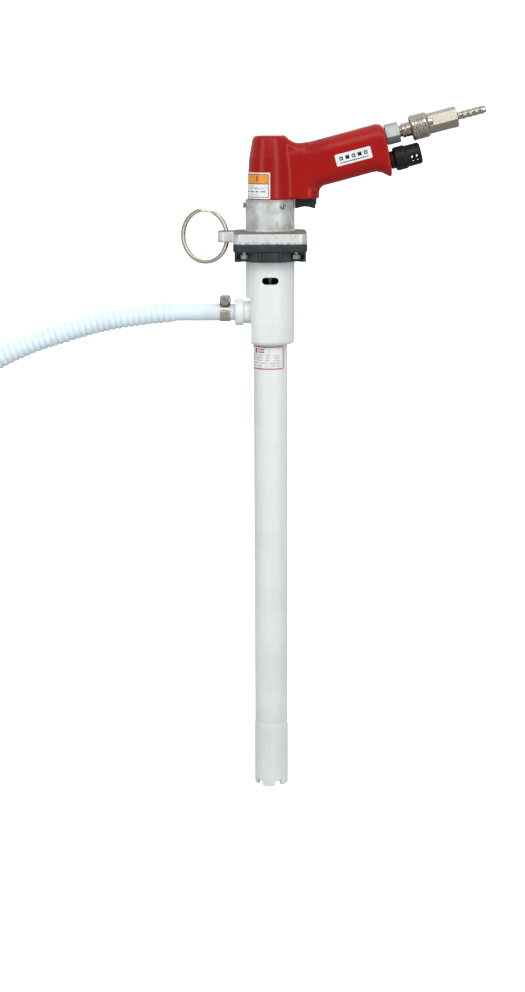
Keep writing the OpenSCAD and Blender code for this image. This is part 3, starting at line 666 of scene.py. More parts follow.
def gripField(x, y, z):
    u, v = alongGrip(x, z)
    s = gripBarSet
    r = np.hypot(x, y)
    barrel = roundMax(outlineField(r, z, barrelOutline), 135.2 - z, 0.6)
    turned = np.clip(u - s["topFrom"], 0, s["topRound"] - 0.01)
    top = s["half"] - s["topRound"] + np.sqrt(s["topRound"] ** 2 - turned ** 2)
    under = np.interp(u, *zip(*s["under"]))
    wide = np.interp(x, (30, 34, 48, 54), (12, 12.6, 15.5, s["width"]))
    section = roundBox(v - (top + under) / 2, y, (top - under) / 2, wide, np.minimum(s["corner"], wide - 0.5))
    bar = np.maximum(roundMax(section, u - np.interp(v, *zip(*s["end"])), 2.2), 5 - u)
    boss = roundMin(roundBox(x - 16.5, y, 17.5, 12, 2), np.hypot(x - 33.4, y) - 12.6, 3)
    boss = roundMax(boss, between(z, 135.4, 168), 2.4)
    saddle = roundMax(outlineField(x, z, saddleOutline), np.abs(y) - 10.5, 7)
    web = np.maximum(roundMin(bar, boss, 5), np.abs(y) - np.interp(x, *zip(*webSide)))
    body = roundMin(roundMin(barrel, web, 3.2), saddle, 2.5)
    body = np.minimum(body, np.maximum(r - 19.4, between(z, 121.3, 140)))
    air, outlet = np.hypot(v - gripSet["airLine"], y), np.hypot(v - gripSet["exhaust"], y)
    body = bored(body, (r - 16.8, between(z, 110, 169)), (r - 11, between(z, 160, 176.1)), (air - 5, 34 - u))
    body = bored(body, (air - 6.9, 100 - u), (outlet - 4.9, 48 - u), r=0.8)
    body = bored(body, (np.hypot(x - 32.8, y) - 6.05, between(z, 140, 176)))
    body = bored(body, (roundBox(x - 32.8, y, 10, 5.4, 0.8), between(z, 120, 142.8)), r=0.6)
    return bored(body, (roundBox(x - 41.5, y, 2.3, 2.4, 0.5), between(z, 120, 152.4)))


build("gripHousing", "grip_housing", "red_paint", gripField, (-24, -24, 118), (120, 24, 212), 0.8, redPaint)

# Motor casing, with its square flange and the lug for the ring

casingSet = {"half": 34.2, "corner": 8, "low": 95, "shoulder": 105, "barrel": 23, "top": 135.2,
             "lugAt": 41, "lug": 8.2, "lugHole": 3.9, "boltAt": 24, "bolt": 2.1}


def casingField(x, y, z):
    s = casingSet
    r, lugR = np.hypot(x, y), np.hypot(x + s["lugAt"], y)
    plate = roundBox(x, y, s["half"], s["half"], s["corner"])
    plate = roundMax(plate, between(z, s["low"], s["shoulder"]), 0.9)
    barrel = roundMax(r - s["barrel"], between(z, 96, s["top"]), 0.7)
    lug = np.minimum(lugR - s["lug"], roundBox(x + 34, y, 7, 8, 0.5))
    lug = roundMax(lug, between(z, 95.3, 106), 1.1)
    body = roundMin(roundMin(plate, barrel, 2.6), lug, 1.2)
    body = bored(body, (r - 14, z - 112), (r - 7, z - 123), (r - 11, between(z, 114, 124)),
                 (r - 19.5, 121.2 - z))
    body = cut(body, lugR - s["lugHole"], 0.8)
    bolts = np.hypot(np.abs(x) - s["boltAt"], np.abs(y) - s["boltAt"])
    return bored(body, (bolts - s["bolt"], z - 103))


build("motorCasing", "motor_casing", "cast_aluminium", casingField, (-51, -36, 93), (36, 36, 137), 0.65,
      castAluminium)

# Coupling flange under it

couplingSet = {"half": 34.4, "corner": 8, "step": 88.2, "top": 94.95, "low": 78.5, "round": 33,
               "lowHalf": 24.5, "ribAt": 9.5, "boltAt": 24, "bolt": 2.2, "boltHead": 4.8}


def couplingField(x, y, z):
    s = couplingSet
    r = np.hypot(x, y)
    upper = roundMax(roundBox(x, y, s["half"], s["half"], s["corner"]), between(z, s["step"], s["top"]), 0.9)
    lower = np.minimum(r - s["round"], roundBox(x, y, s["round"] + 0.2, s["lowHalf"], 1.5))
    lower = roundMax(lower, between(z, s["low"], 90), 0.8)
    ribs = roundBox(np.abs(x) - s["ribAt"], np.abs(y) - 31, 1.3, 2.5, 0.7)
    body = roundMin(np.minimum(upper, lower), roundMax(ribs, between(z, s["low"], 89), 0.6), 0.6)
    bolts = np.hypot(np.abs(x) - s["boltAt"], np.abs(y) - s["boltAt"])
    body = cut(bored(body, (r - 23.05, z - 87.5)), r - 14)
    body = bored(body, (between(r, 16.9, 18.9), 93.5 - z))
    body = bored(cut(body, bolts - s["bolt"]), (bolts - s["boltHead"], z - 85.7))
    window = roundBox(np.abs(x) - 28, np.abs(y) - 24, 3.2, 4.2, 0.6)
    return bored(body, (window, between(z, 81.3, 85.3)), r=0.5)


build("couplingFlange", "coupling_flange", "dark_flange_plastic", couplingField, (-36, -36, 77),
      (36, 36, 97), 0.6, flangePlastic)

# Discharge head and its nut

headSet = {"radius": 23, "top": 87.4, "foot": 4, "neckAt": 29.5, "neck": 10.6, "slotAt": 60.5,
           "slotHalf": 7.7, "slotTall": 3.35}


def headField(x, y, z):
    s = headSet
    r, neckR = np.hypot(x, y), np.hypot(y, z - s["neckAt"])
    body = np.minimum(roundMax(r - s["radius"], between(z, 0, s["top"]), s["foot"]),
                      roundMax(r - s["radius"], between(z, 30, s["top"]), 0.5))
    body = cut(body, np.minimum(np.maximum(x + 18.2, z - 40), np.hypot(x + 21.7, z - 40) - 3.5), 0.5)
    body = roundMin(body, np.maximum(neckR - s["neck"], between(x, -25.2, -10)), 1.2)
    body = bored(body, (roundBox(x, z - s["slotAt"], s["slotHalf"], s["slotTall"], 3.3), y + 15), r=0.7)
    return bored(body, (r - 16.05, z - 14), (r - 13, between(z, 13, 40)), (r - 6.55, between(z, 39, 49)),
                 (r - 9, between(z, 44, 54)), (r - 17, between(z, 50, 69)), (r - 7, between(z, 60, 90)),
                 (r - 15, 77 - z), (neckR - 7.15, x))


build("dischargeHead", "pump_head", "white_polypropylene", headField, (-27, -25, -2), (25, 25, 90), 0.6,
      whitePlastic)
nutTurn = Matrix.Translation((0, 0, headSet["neckAt"] * mm)) @ Matrix.Rotation(-math.pi / 2, 4, "Y")
nut = lathe("outletNut", [(10, 25.25), (12.3, 25.25), (12.6, 25.8), (12.6, 32.2), (11.4, 33.4), (6, 33.4),
                          (6, 27.8), (10, 27.8)], nutTurn, whitePlastic, 96, 0.5)
settle(nut, "outlet_nut", "white_polypropylene")

# Suction tube and its foot

tubeSet = {"radius": 16, "bore": 13, "low": -374, "top": 14}
footSet = {"radius": 16.5, "thinner": 0.45, "thinFrom": -380, "thinOver": 6, "low": -439, "notchTop": -434.2,
           "notchEach": 72, "notchFrom": 295.5, "notchHalf": 12.5}


def tubeProfile(s):
    long = s["top"] - s["low"]
    wall = [(s["radius"], s["low"] + long * t) for t in np.linspace(0, 1, 25)]
    return [(s["bore"], s["low"])] + wall + [(s["bore"], s["top"])]


settle(lathe("suctionTube", tubeProfile(tubeSet), Matrix.Identity(4), whitePlastic, 128, 0.3), "suction_tube",
       "white_polypropylene")


def footField(x, y, z):
    s, join = footSet, tubeSet["low"]
    r = np.hypot(x, y)
    outer = s["radius"] - s["thinner"] * np.clip((z - s["thinFrom"]) / s["thinOver"], 0, 1)
    body = roundMax(roundMax(r - outer, between(z, s["low"], join), 0.4), 13.2 - r, 0.5)
    seat = np.maximum(between(r, 10.6, 13.3), between(z, -394.4, -359.4))
    body = np.minimum(body, np.maximum(seat, r - 12.95 - np.where(z < join, 1.0, 0)))
    turn = (np.degrees(np.arctan2(y, x)) - s["notchFrom"]) % s["notchEach"]
    turn = np.minimum(turn, s["notchEach"] - turn)
    return cut(body, roundMax(np.radians(turn - s["notchHalf"]) * r, z - s["notchTop"], 0.8), 1.0)


build("footCasing", "foot_casing", "white_polypropylene", footField, (-18, -18, -440.5), (18, 18, -357), 0.5,
      whitePlastic)

# Trigger

triggerSet = {"at": 32.75, "halfLong": 9.55, "halfWide": 5, "low": 126.5, "top": 137, "finger": 18,
              "tongueAt": 41.5}


def triggerField(x, y, z):
    s = triggerSet
    block = roundBox(x - s["at"], y, s["halfLong"], s["halfWide"], 1.2)
    block = roundMax(block, between(z, s["low"], s["top"]), 0.7)
    block = cut(block, np.hypot(x - 32.7, z - 110.1) - s["finger"], 0.8)
    tongue = np.maximum(roundBox(x - s["tongueAt"], y, 1.9, 2, 0.4), between(z, 130, 147))
    slit = roundBox(x - s["tongueAt"], z - 142, 1.0, 3.7, 0.9)
    return bored(roundMin(block, tongue, 0.4), (slit, np.abs(y) - 9))


build("triggerButton", "trigger", "black_plastic", triggerField, (21, -7, 124), (46, 7, 149), 0.35,
      triggerPlastic)

# Air line: bushing, plug, coupler, sleeve and hose tail

airSet = {"across": 17, "bushing": (113, 125.8), "coupler": (153.6, 180.7), "shell": 9.2}
sleeveSet = {"start": 137.2, "radius": 11.65, "grooveFrom": 5.6, "groovePitch": 1.45, "grooves": 5,
             "grooveDepth": 0.32}
tailSet = {"ridges": 4, "from": 185.2, "pitch": 5.6, "end": 208, "bore": 2.2}


def polygon(p, q, across, angles):
    flats = [np.abs(p * math.cos(a) + q * math.sin(a)) for a in np.radians(angles)]
    return np.maximum.reduce(flats) - across / 2


def hexEnds(p, q, u, low, high, across):
    r = np.hypot(p, q)
    reach = across / 2 + 0.15
    ends = np.maximum((r - reach) * 0.5 + (u - high) * 0.866, (r - reach) * 0.5 + (low - u) * 0.866)
    sides = roundMax(polygon(p, q, across, (45, 105, 165)), between(u, low, high), 0.25)
    return roundMax(np.maximum(sides, ends), between(u, low, high), 0.2)


def bushingField(x, y, z):
    u, v = alongGrip(x, z)
    p = v - gripSet["airLine"]
    r = np.hypot(p, y)
    body = hexEnds(p, y, u, *airSet["bushing"], airSet["across"])
    body = np.minimum(body, np.maximum(r - 6.5, between(u, 101, 114)))
    return bored(cut(body, r - 4), (r - 5.15, 114.5 - u), r=0.3)


def couplerField(x, y, z):
    u, v = alongGrip(x, z)
    p = v - gripSet["airLine"]
    r = np.hypot(p, y)
    body = hexEnds(p, y, u, *airSet["coupler"], airSet["across"])
    body = np.minimum(body, roundMax(r - airSet["shell"], between(u, 138.6, 158), 0.4))
    body = bored(cut(body, r - 4.5), (r - 5.5, u - 148.2), r=0.3)
    body = bored(body, (r - 6.6, between(u, 148.2, 150.8)))
    return bored(body, (r - 5.05, 170.2 - u), r=0.3)


def sleeveProfile(s):
    r, u = s["radius"], s["start"]
    points = [(10, u), (r - 0.9, u), (r, u + 0.8), (r, u + 3.1), (r - 0.35, u + 3.3), (r - 0.35, u + 3.7),
              (r, u + 3.9)]
    for i in range(s["grooves"]):
        at = u + s["grooveFrom"] + i * s["groovePitch"]
        points += [(r, at), (r - s["grooveDepth"], at + 0.3), (r - s["grooveDepth"], at + 0.5), (r, at + 0.8)]
    return points + [(r, u + 14), (r - 1, u + 16.1), (10.2, u + 16.1), (10.2, u + 9.2), (9.28, u + 9.2),
                     (9.28, u + 2.6), (10, u + 2.6)]


def tailProfile(s):
    points = [(s["bore"], 171.3), (5, 171.3), (5, 180.8), (4.4, 181.5), (3.3, 181.7)]
    for i in range(s["ridges"]):
        at = s["from"] + i * s["pitch"]
        points += [(3.3, at), (3.75, at + 1.3), (3.8, at + 2.0), (3.4, at + 3.2)]
    return points + [(2.9, s["end"]), (s["bore"], s["end"])]


plugProfile = [(2.7, 115), (5.1, 115), (5.1, 128.4), (6.6, 128.5), (6.6, 131.2), (6.2, 131.6), (6.2, 132.2),
               (6.6, 132.6), (6.6, 137.6), (5.42, 138.4), (5.42, 140.4), (4.9, 141), (4.9, 144),
               (5.42, 144.6), (5.42, 149), (4.6, 150), (2.7, 150)]
build("inletBushing", "inlet_bushing", "zinc_steel", bushingField, (88, -11, 176), (126, 11, 209), 0.35,
      zincPlate)
build("couplerBody", "coupler_body", "nickel_plate", couplerField, (124, -11, 186), (178, 11, 222), 0.35,
      nickelPlate)
airTurn = airLineTurn(gripSet["airLine"])
for name, node, profile, steps, soft in (
        ("couplerPlug", "coupler_plug", plugProfile, 72, 0.25),
        ("couplerSleeve", "coupler_sleeve", sleeveProfile(sleeveSet), 120, 0.2),
        ("hoseTail", "hose_tail", tailProfile(tailSet), 64, 0.35)):
    settle(lathe(name, profile, airTurn, nickelPlate, steps, soft), node, "nickel_plate")

# Exhaust muffler: neck, raised collar and a drilled head

mufflerSet = {"start": 112, "neck": 8.2, "collar": 11, "radius": 10, "long": 28.8, "holeTurns": (11, 38),
              "holesAt": (20.1, 24.6), "hole": 1.5}


def mufflerField(x, y, z):
    s = mufflerSet
    u, v = alongGrip(x, z)
    w, p = u - s["start"], v - gripSet["exhaust"]
    r = np.hypot(p, y)
    neck = roundMax(r - s["neck"], between(w, -0.3, 6), 0.5)
    collar = roundMax(r - s["collar"], between(w, 3.4, 15.4), 2.4)
    drilled = roundMax(r - s["radius"], between(w, 6, s["long"]), 2.4)
    body = roundMin(roundMin(neck, collar, 0.8), drilled, 0.7)
    body = np.minimum(body, np.maximum(r - 4.4, between(w, -9, 2)))
    body = bored(body, (r - 3, w - 10), (r - 7.8, between(w, 1.5, 26.8)))
    for a in np.radians(s["holeTurns"]):
        side = np.abs(y) * math.cos(a) - p * math.sin(a)
        across = np.abs(y) * math.sin(a) + p * math.cos(a)
        for at in s["holesAt"]:
            body = bored(body, (np.hypot(across, w - at) - s["hole"], 3 - side), r=0.25)
    return body


build("exhaustMuffler", "exhaust_muffler", "black_plastic", mufflerField, (98, -13, 154), (146, 13, 194),
      0.34, mufflerPlastic)

# Split ring: a flat wire wound twice, with a jog where the turns cross

ringSet = {"centre": (-41, 0, 100.2), "radius": 24.3, "shift": 0.8, "swing": -30, "wide": 3.5, "thick": 1.68,
           "apart": 0.87, "jogAt": 84, "jog": 17, "steps": 240}


def addRing(s):
    turn = Matrix.Translation(Vector(s["centre"]) * mm) @ Matrix.Rotation(math.radians(s["swing"]), 4, "Z")
    turn = turn @ Matrix.Translation(((s["shift"] - s["radius"]) * mm, 0, 0))
    turn = turn @ Matrix.Rotation(math.pi / 2, 4, "X")
    w, t = s["wide"] / 2, s["thick"] / 2
    section = softened([(-w, -t), (w, -t), (w, t), (-w, t)], 0.45, 2)
    angles = np.linspace(s["jog"], 720 - s["jog"], s["steps"] * 2)
    points, n = [], len(section)
    for a in angles:
        t = np.clip((a - 360) / s["jog"] / 2 + 0.5, 0, 1)
        lift = -s["apart"] + 2 * s["apart"] * t * t * (3 - 2 * t)
        way = math.radians(a + s["jogAt"])
        points += [((s["radius"] + r) * math.cos(way), (s["radius"] + r) * math.sin(way), lift + h)
                   for r, h in section]
    faces = [(i * n + k, i * n + (k + 1) % n, (i + 1) * n + (k + 1) % n, (i + 1) * n + k)
             for i in range(len(angles) - 1) for k in range(n)]
    faces += [tuple(range(n)), tuple(range((len(angles) - 1) * n, len(angles) * n))]
    settle(turnedPiece("keyRing", points, faces, turn, ringSteel, 45), "key_ring", "ring_steel")
    print("ring built")


addRing(ringSet)

# Hose clamp: slotted band, worm housing and screw

clampSet = {"x": -42.6, "axis": 29.5, "worm": 41.6, "inner": 7.9, "outer": 8.65, "ends": (-47.35, -37.85),
            "slotEach": 30, "lean": 0.12, "threadEnds": (-3.6, -2.9), "thread": 1.7, "threads": 6, "knob": 9.2,
            "slit": -38}


def bandField(x, y, z):
    s = clampSet
    at = x - s["x"]
    r = np.hypot(y, z - s["axis"])
    body = roundMax(between(r, s["inner"], s["outer"]), between(x, *s["ends"]), 0.2)
    turn = (np.degrees(np.arctan2(z - s["axis"], y)) + 361.5) % s["slotEach"]
    slots = roundBox(np.radians(turn - s["slotEach"] / 2) * 8.3 - at * s["lean"], at, 0.6, 3.2, 0.5)
    return bored(body, (np.maximum(slots, 8.15 - r), 30 - z))


def housingField(x, y, z):
    s = clampSet
    body = roundMax(roundBox(x - s["x"], z - 40.4, 5.2, 4.9, 3.2), between(y, -4.5, 6), 0.6)
    body = cut(body, np.hypot(y, z - s["axis"]) - s["outer"] - 0.05, 0.2)
    return cut(body, np.hypot(x - s["x"], z - s["worm"]) - 2.9, 0.3)


def screwField(x, y, z):
    s = clampSet
    p, q = x - s["x"], z - s["worm"]
    r = np.hypot(p, q)
    shank = np.maximum(r - 2.8, between(y, -5, 7))
    for i in range(s["threads"]):
        low, high = [end + i * s["thread"] for end in s["threadEnds"]]
        shank = bored(shank, (between(y, low, high), 2.2 - r))
    sides = roundMax(polygon(p, q, s["knob"], (0, 45, 90, 135)), r - 4.95, 0.15)
    knob = roundMax(sides, between(y, -9, -4.8), 0.6)
    a = math.radians(s["slit"])
    return bored(np.minimum(shank, knob), (np.abs(q * math.cos(a) - p * math.sin(a)) - 0.65, y + 7.4), r=0.25)


build("clampBand", "clamp_band", "stainless", bandField, (-49, -10, 19), (-36, 10, 40), 0.28, stainless)
build("clampHousing", "clamp_housing", "stainless", housingField, (-50, -6, 33), (-36, 8, 47), 0.3, darkSteel)
build("clampScrew", "clamp_screw", "zinc_steel", screwField, (-49, -10, 35), (-36, 8, 48), 0.25, stainless)

# Small screws, placed by nodes on the points where the castings take them

panSet = {"radius": 2.7, "height": 2.3, "slot": 0.9, "shank": 1.5, "deep": -5.6, "out": 23, "level": 129.6,
          "round": (180, 300, 60), "turn": 0.5236}
boltSet = {"across": 7.0, "height": 4.0, "shank": 2, "long": 12, "out": 24, "level": 85.4, "turn": 0.3}


def scatterTree(name):
    # One item on each face of the start mesh, turned to the face's normal
    tree, g, out = nodesTree(name, [], Item="Object", Turn="Vector")
    item = addNode(tree, "GeometryNodeObjectInfo", Object=g["Item"]).outputs["Geometry"]
    keep = addNode(tree, "GeometryNodeCaptureAttribute", {"domain": "FACE"}, i0=g["Geometry"])
    keep.capture_items.new("VECTOR", "Facing")
    tree.links.new(tree.nodes.new("GeometryNodeInputNormal").outputs[0], keep.inputs["Facing"])
    spots = addNode(tree, "GeometryNodeMeshToPoints", {"mode": "FACES"}, i0=keep.outputs[0]).outputs[0]
    aim = addNode(tree, "FunctionNodeAlignRotationToVector", {"axis": "Z"}, Vector=keep.outputs["Facing"])
    spin = addNode(tree, "FunctionNodeRotateRotation", {"rotation_space": "LOCAL"}, Rotation=aim.outputs[0])
    tree.links.new(g["Turn"], spin.inputs["Rotate By"])
    placed = addNode(tree, "GeometryNodeInstanceOnPoints", Points=spots, Instance=item,
                     Rotation=spin.outputs[0]).outputs[0]
    return lastNodes(tree, g, out, placed)


def panScrew(x, y, z):
    r = np.hypot(x, y)
    s = panSet
    dome = roundMax(r - s["radius"], between(z, 0, s["height"]), 0.9)
    dome = np.maximum(dome, roundMax(r - s["radius"], between(z, 0, s["height"] + 3), 0.2))
    dome = cut(dome, np.maximum(np.abs(x) - s["slot"] / 2, 1.0 - z), 0.15)
    return np.minimum(dome, np.maximum(r - s["shank"], between(z, s["deep"], 0.3)))


def capBolt(x, y, z):
    s = boltSet
    hexHead = roundMax(polygon(x, y, s["across"], (0, 60, 120)), between(z, -s["height"], 0), 0.35)
    return np.minimum(hexHead, np.maximum(np.hypot(x, y) - s["shank"], between(z, -0.4, s["long"])))


def placeItems(name, node, itemField, low, high, cell, spots, turn, material):
    item = surfaceFromField(name + "Item", itemField, low, high, cell, material)
    start = bpy.data.meshes.new(name + "Spots")
    points, faces = [], []
    for centre, facing in spots:  # a small triangle on each spot carries its direction
        way = Vector(facing).to_track_quat("Z", "Y").to_matrix()
        faces.append(tuple(range(len(points), len(points) + 3)))
        points += [tuple(Vector(centre) * mm + way @ Vector((0.0001 * math.cos(a), 0.0001 * math.sin(a), 0)))
                   for a in (0, 2.0944, 4.18879)]
    start.from_pydata(points, [], faces)
    values = {"Item": item, "Turn": (0, 0, turn), "Material": material}
    piece = growNodes(name, start, scatterTree(name + "Nodes"), values, material)
    bpy.data.objects.remove(item)
    settle(piece, node, "zinc_steel")


rays = [(math.cos(math.radians(a)), math.sin(math.radians(a))) for a in panSet["round"]]
panSpots = [((panSet["out"] * c, panSet["out"] * s, panSet["level"]), (c, s, 0)) for c, s in rays]
placeItems("casingScrews", "casing_screws", panScrew, (-3.3, -3.3, -6.5), (3.3, 3.3, 3), 0.22, panSpots,
           panSet["turn"], screwSteel)
boltSpots = [((x * boltSet["out"], y * boltSet["out"], boltSet["level"]), (0, 0, 1))
             for x in (-1, 1) for y in (-1, 1)]
placeItems("flangeBolts", "flange_screws", capBolt, (-4.5, -4.5, -5), (4.5, 4.5, 13), 0.3, boltSpots,
           boltSet["turn"], zincPlate)
print("screws built")

# Printed labels: thin sheets whose marks are plain bars and panels, kept in a colour attribute

inks = {"paper": (236, 239, 240), "black": (30, 32, 40), "red": (176, 40, 44), "orange": (236, 148, 44),
        "brown": (168, 92, 40), "grey": (120, 124, 140), "pale": (176, 172, 178), "faint": (188, 192, 200),
        "pink": (202, 150, 156)}


def printed(tree, place, colour, rough):
    ink = addNode(tree, "ShaderNodeAttribute", {"attribute_name": "print"}).outputs["Color"]
    return blendColour(tree, 1.0, colour, ink, "MULTIPLY"), rough


labelPaper, labelFoil = [
    finish(name, printed, base=(250, 250, 250), shade=(232, 233, 230), shadeScale=180.0, rough=rough,
           bump=0.12, scratch=(225, 224, 220), scratchAmount=0.7, stretch=(400.0, 400.0, 400.0))
    for name, rough in (("labelPaper", (0.3, 0.45)), ("labelFoil", (0.22, 0.36)))]


def addLabel(name, node, slotName, s, place, material):
    wide, tall, corner = s["wide"], s["tall"], s["corner"]
    nx, ny = int(wide / s["cell"]), int(tall / s["cell"])
    inset, line, bend, frameInk = s["frame"]
    spots, colours = [], []
    for j in range(ny + 1):
        y = (j / ny - 0.5) * tall
        over = max(0.0, abs(y) - (tall / 2 - corner))
        half = wide / 2 - corner + math.sqrt(max(corner ** 2 - over ** 2, 0))
        for i in range(nx + 1):
            x = (2 * i / nx - 1) * half
            spots.append((x, y))
            ink = "paper"
            if -line <= roundBox(x, y, wide / 2 - inset, tall / 2 - inset, bend) <= 0:
                ink = frameInk
            for markInk, cx, cy, w, h in s["marks"]:
                if cx - w / 2 <= x <= cx + w / 2 and cy - h / 2 <= y <= cy + h / 2:
                    ink = markInk
            colours.append(tone(*inks[ink]))
    count, row = len(spots), nx + 1
    points = [place(x, y, lift) for lift in (s["thick"], 0) for x, y in spots]
    faces = []
    for a in [j * row + i for j in range(ny) for i in range(nx)]:
        b, c, d = a + 1, a + row + 1, a + row
        faces += [(a, b, c, d), (count + d, count + c, count + b, count + a)]
    rim = [*range(row)] + [j * row + nx for j in range(1, ny + 1)]
    rim += [ny * row + i for i in range(nx - 1, -1, -1)] + [j * row for j in range(ny - 1, 0, -1)]
    faces += [(a, count + a, count + b, b) for a, b in zip(rim, rim[1:] + rim[:1])]
    label = addPiece(name, np.array(points) * mm, faces, material, 40)
    layer = label.data.color_attributes.new("print", "FLOAT_COLOR", "POINT")
    layer.data.foreach_set("color", np.array(colours + [tone(*inks["paper"])] * count).ravel())
    settle(label, node, slotName)


def onTube(radius, middle, height, taper=0.0):
    def place(x, y, lift):
        r = radius - taper * y + lift
        a = math.radians(middle) + x / radius
        return (r * math.cos(a), r * math.sin(a), height + y)
    return place


def onGrip(middle, height, side):
    def place(x, y, lift):
        u, v = middle + x, height + y
        return (u * tiltCos - v * tiltSin, -side - lift, gripSet["height"] + u * tiltSin + v * tiltCos)
    return place


def bars(ink, y, h, *spans):  # each span is a centre and a width
    return [(ink, x, y, w, h) for x, w in spans]


namePlate = {
    "wide": 34, "tall": 11, "corner": 1.6, "cell": 0.2, "thick": 0.35, "frame": (0, 0, 0.5, "black"),
    "marks": bars("black", 0.9, 3.4, (-11.5, 3.4), (-5.7, 3.4), (0.1, 3.4), (5.9, 3.4), (11.7, 3.4))
    + bars("paper", 0.9, 1.4, (-11.5, 1.4), (0.1, 1.4), (11.7, 1.4)) + bars("black", -3.0, 0.6, (0, 27))}
barrelLabel = {
    "wide": 36, "tall": 24, "corner": 0.6, "cell": 0.28, "thick": 0.2, "frame": (1.2, 0.5, 0.4, "black"),
    "marks": bars("orange", 6.2, 8.2, (0, 32.4)) + bars("black", 1.7, 0.4, (0, 33))
    + bars("brown", 6.4, 4.6, (5.0, 2.2)) + bars("grey", -2.2, 0.7, (-11, 6), (-3, 7), (4.4, 5), (10, 4))
    + bars("grey", -5.4, 1.0, (-10, 9), (-1, 5), (5, 3), (11, 4.6))
    + bars("faint", -8.2, 0.5, (-9, 8), (1, 8))}
tubeLabel = {
    "wide": 44.5, "tall": 22.6, "corner": 2.0, "cell": 0.25, "thick": 0.18, "frame": (0.4, 0.95, 2.2, "red"),
    "marks": bars("red", 6.6, 4.2, (-7.2, 2.2))
    + [mark for y in (7.8, 5.4) for mark in bars("red", y, 1.5, (-3.6, 1.6), (-1.3, 1.6), (1.0, 1.6))]
    + [mark for y in (2.4, 0.0, -2.4)
       for mark in bars("pale", y, 0.7, (-12, 7), (-3, 8), (5.6, 5), (13.6, 6))]
    + bars("pink", -5.0, 0.7, (-10, 9), (1, 6), (12, 9))
    + bars("pale", -7.6, 0.9, (-11, 6), (-3, 5), (11, 3), (15.4, 2.6))}
addLabel("namePlate", "name_plate", "label_white", namePlate,
         onGrip(79, -1.7, gripBarSet["width"]), labelFoil)
addLabel("barrelLabel", "barrel_label", "label_orange", barrelLabel,
         onTube(20.52, 220, 148, 0.024), labelPaper)
addLabel("tubeLabel", "tube_label", "label_white", tubeLabel, onTube(16.02, 241.5, -12.2), labelPaper)
print("labels built")

# Strap round the hank

tieSet = {"along": (-436, -424), "inner": 9.7, "wall": 1.1, "buckleWide": 2.2, "buckleTall": 6.0}


def tieField(x, y, z):
    s, low = tieSet, hoseSet["floor"]
    core = np.hypot(y + hoseSet["hankRadius"], z - np.clip(z, low + 9.6, low + 28.8))
    body = roundMax(between(core, s["inner"], s["inner"] + s["wall"]), between(x, *s["along"]), 0.25)
    buckle = roundBox(y + 46.3, z - (low + 19.2), s["buckleWide"], s["buckleTall"], 0.9)
    buckle = np.maximum(roundMax(buckle, between(x, -437, -423), 0.5), s["inner"] + 0.05 - core)
    return np.maximum(np.minimum(body + 0.036 * np.sin(x * 4.2), buckle), low - z)


tieStrap = finish("tieStrap", base=(70, 74, 80), shade=(54, 58, 62), rough=(0.5, 0.7), bump=0.4, sheen=0.3)
tie = build("hoseTie", "hose_tie", "tie_strap", tieField, (-439, -70, -440.4), (-421, -42, -397.4),
            0.45, tieStrap)

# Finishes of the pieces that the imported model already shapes

innerSteel = finish("innerSteel", base=(176, 178, 180), shade=(140, 142, 144), shadeScale=160.0, metal=1.0,
                    rough=(0.22, 0.38), bump=0.15, scratch=(210, 212, 214), stretch=(700.0, 700.0, 60.0))
springSteel = finish("springSteel", base=(150, 150, 148), metal=1.0, rough=(0.3, 0.45), bump=0.3,
                     scratch=(96, 96, 94), stretch=(30.0, 30.0, 1600.0), scratchAmount=0.5)
brass = finish("brass", base=(196, 158, 84), shade=(160, 122, 58), metal=1.0, rough=(0.25, 0.42), bump=0.2)
bearingSteel = finish("bearingSteel", base=(200, 202, 204), shade=(166, 168, 172), metal=1.0,
                      rough=(0.18, 0.3), bump=0.1, scratch=(230, 230, 232), stretch=(600.0, 600.0, 60.0))
rubber = finish("rubber", base=(34, 35, 37), shade=(48, 48, 50), rough=(0.6, 0.8), bump=0.35, sheen=0.2)
spiderRubber = finish("spiderRubber", base=(214, 84, 34), shade=(190, 70, 28), rough=(0.5, 0.7), bump=0.3)
nylon = finish("nylon", base=(236, 234, 224), shade=(224, 220, 206), rough=(0.4, 0.55), soft=0.1)
laminate = finish("laminate", base=(128, 84, 48), shade=(104, 64, 36), rough=(0.5, 0.65), bump=0.3,
                  scratch=(158, 112, 70), stretch=(900.0, 900.0, 40.0), scratchAmount=0.55)
plateAluminium = finish("plateAluminium", base=(198, 202, 206), shade=(176, 180, 184), metal=1.0,
                        rough=(0.28, 0.42), bump=0.2, scratch=(222, 224, 226))
felt = finish("felt", base=(168, 158, 130), shade=(138, 128, 104), shadeScale=400.0, rough=(0.8, 0.95),
              bump=0.9, fine=2600.0, coarse=900.0, bumpDistance=0.0006, sheen=0.5)
impellerPlastic = finish("impellerPlastic", base=(158, 182, 200), shade=(138, 162, 182), rough=(0.35, 0.5),
                         worn=(190, 206, 216))

carried = (
    (rubber, "flange_seal coupler_seal shaft_seal"),
    (innerSteel, "trigger_pin valve_stem motor_cylinder motor_rotor drive_shaft impeller_nut"),
    (springSteel, "valve_spring sleeve_spring"),
    (brass, "valve_body spring_cap coupler_valve"),
    (nylon, "valve_seat shaft_bushes upper_bush foot_bearing"),
    (bearingSteel, "coupler_balls upper_bearing lower_bearing"),
    (plateAluminium, "upper_end_plate lower_end_plate motor_coupling shaft_coupling"),
    (whitePlastic, "guide_tube hose_nipple"),
    (felt, "muffler_felt"), (laminate, "motor_vanes"), (spiderRubber, "coupling_spider"),
    (impellerPlastic, "impeller"))
for material, nodes in carried:
    for node in nodes.split():
        mesh = frame["nodes"][node].data
        mesh.materials.clear()
        mesh.materials.append(material)
print("carried nodes finished")

# Floor, backdrop and light

studioSet = {"floor": hoseSet["floor"] * mm - 0.0004, "half": 45.0}


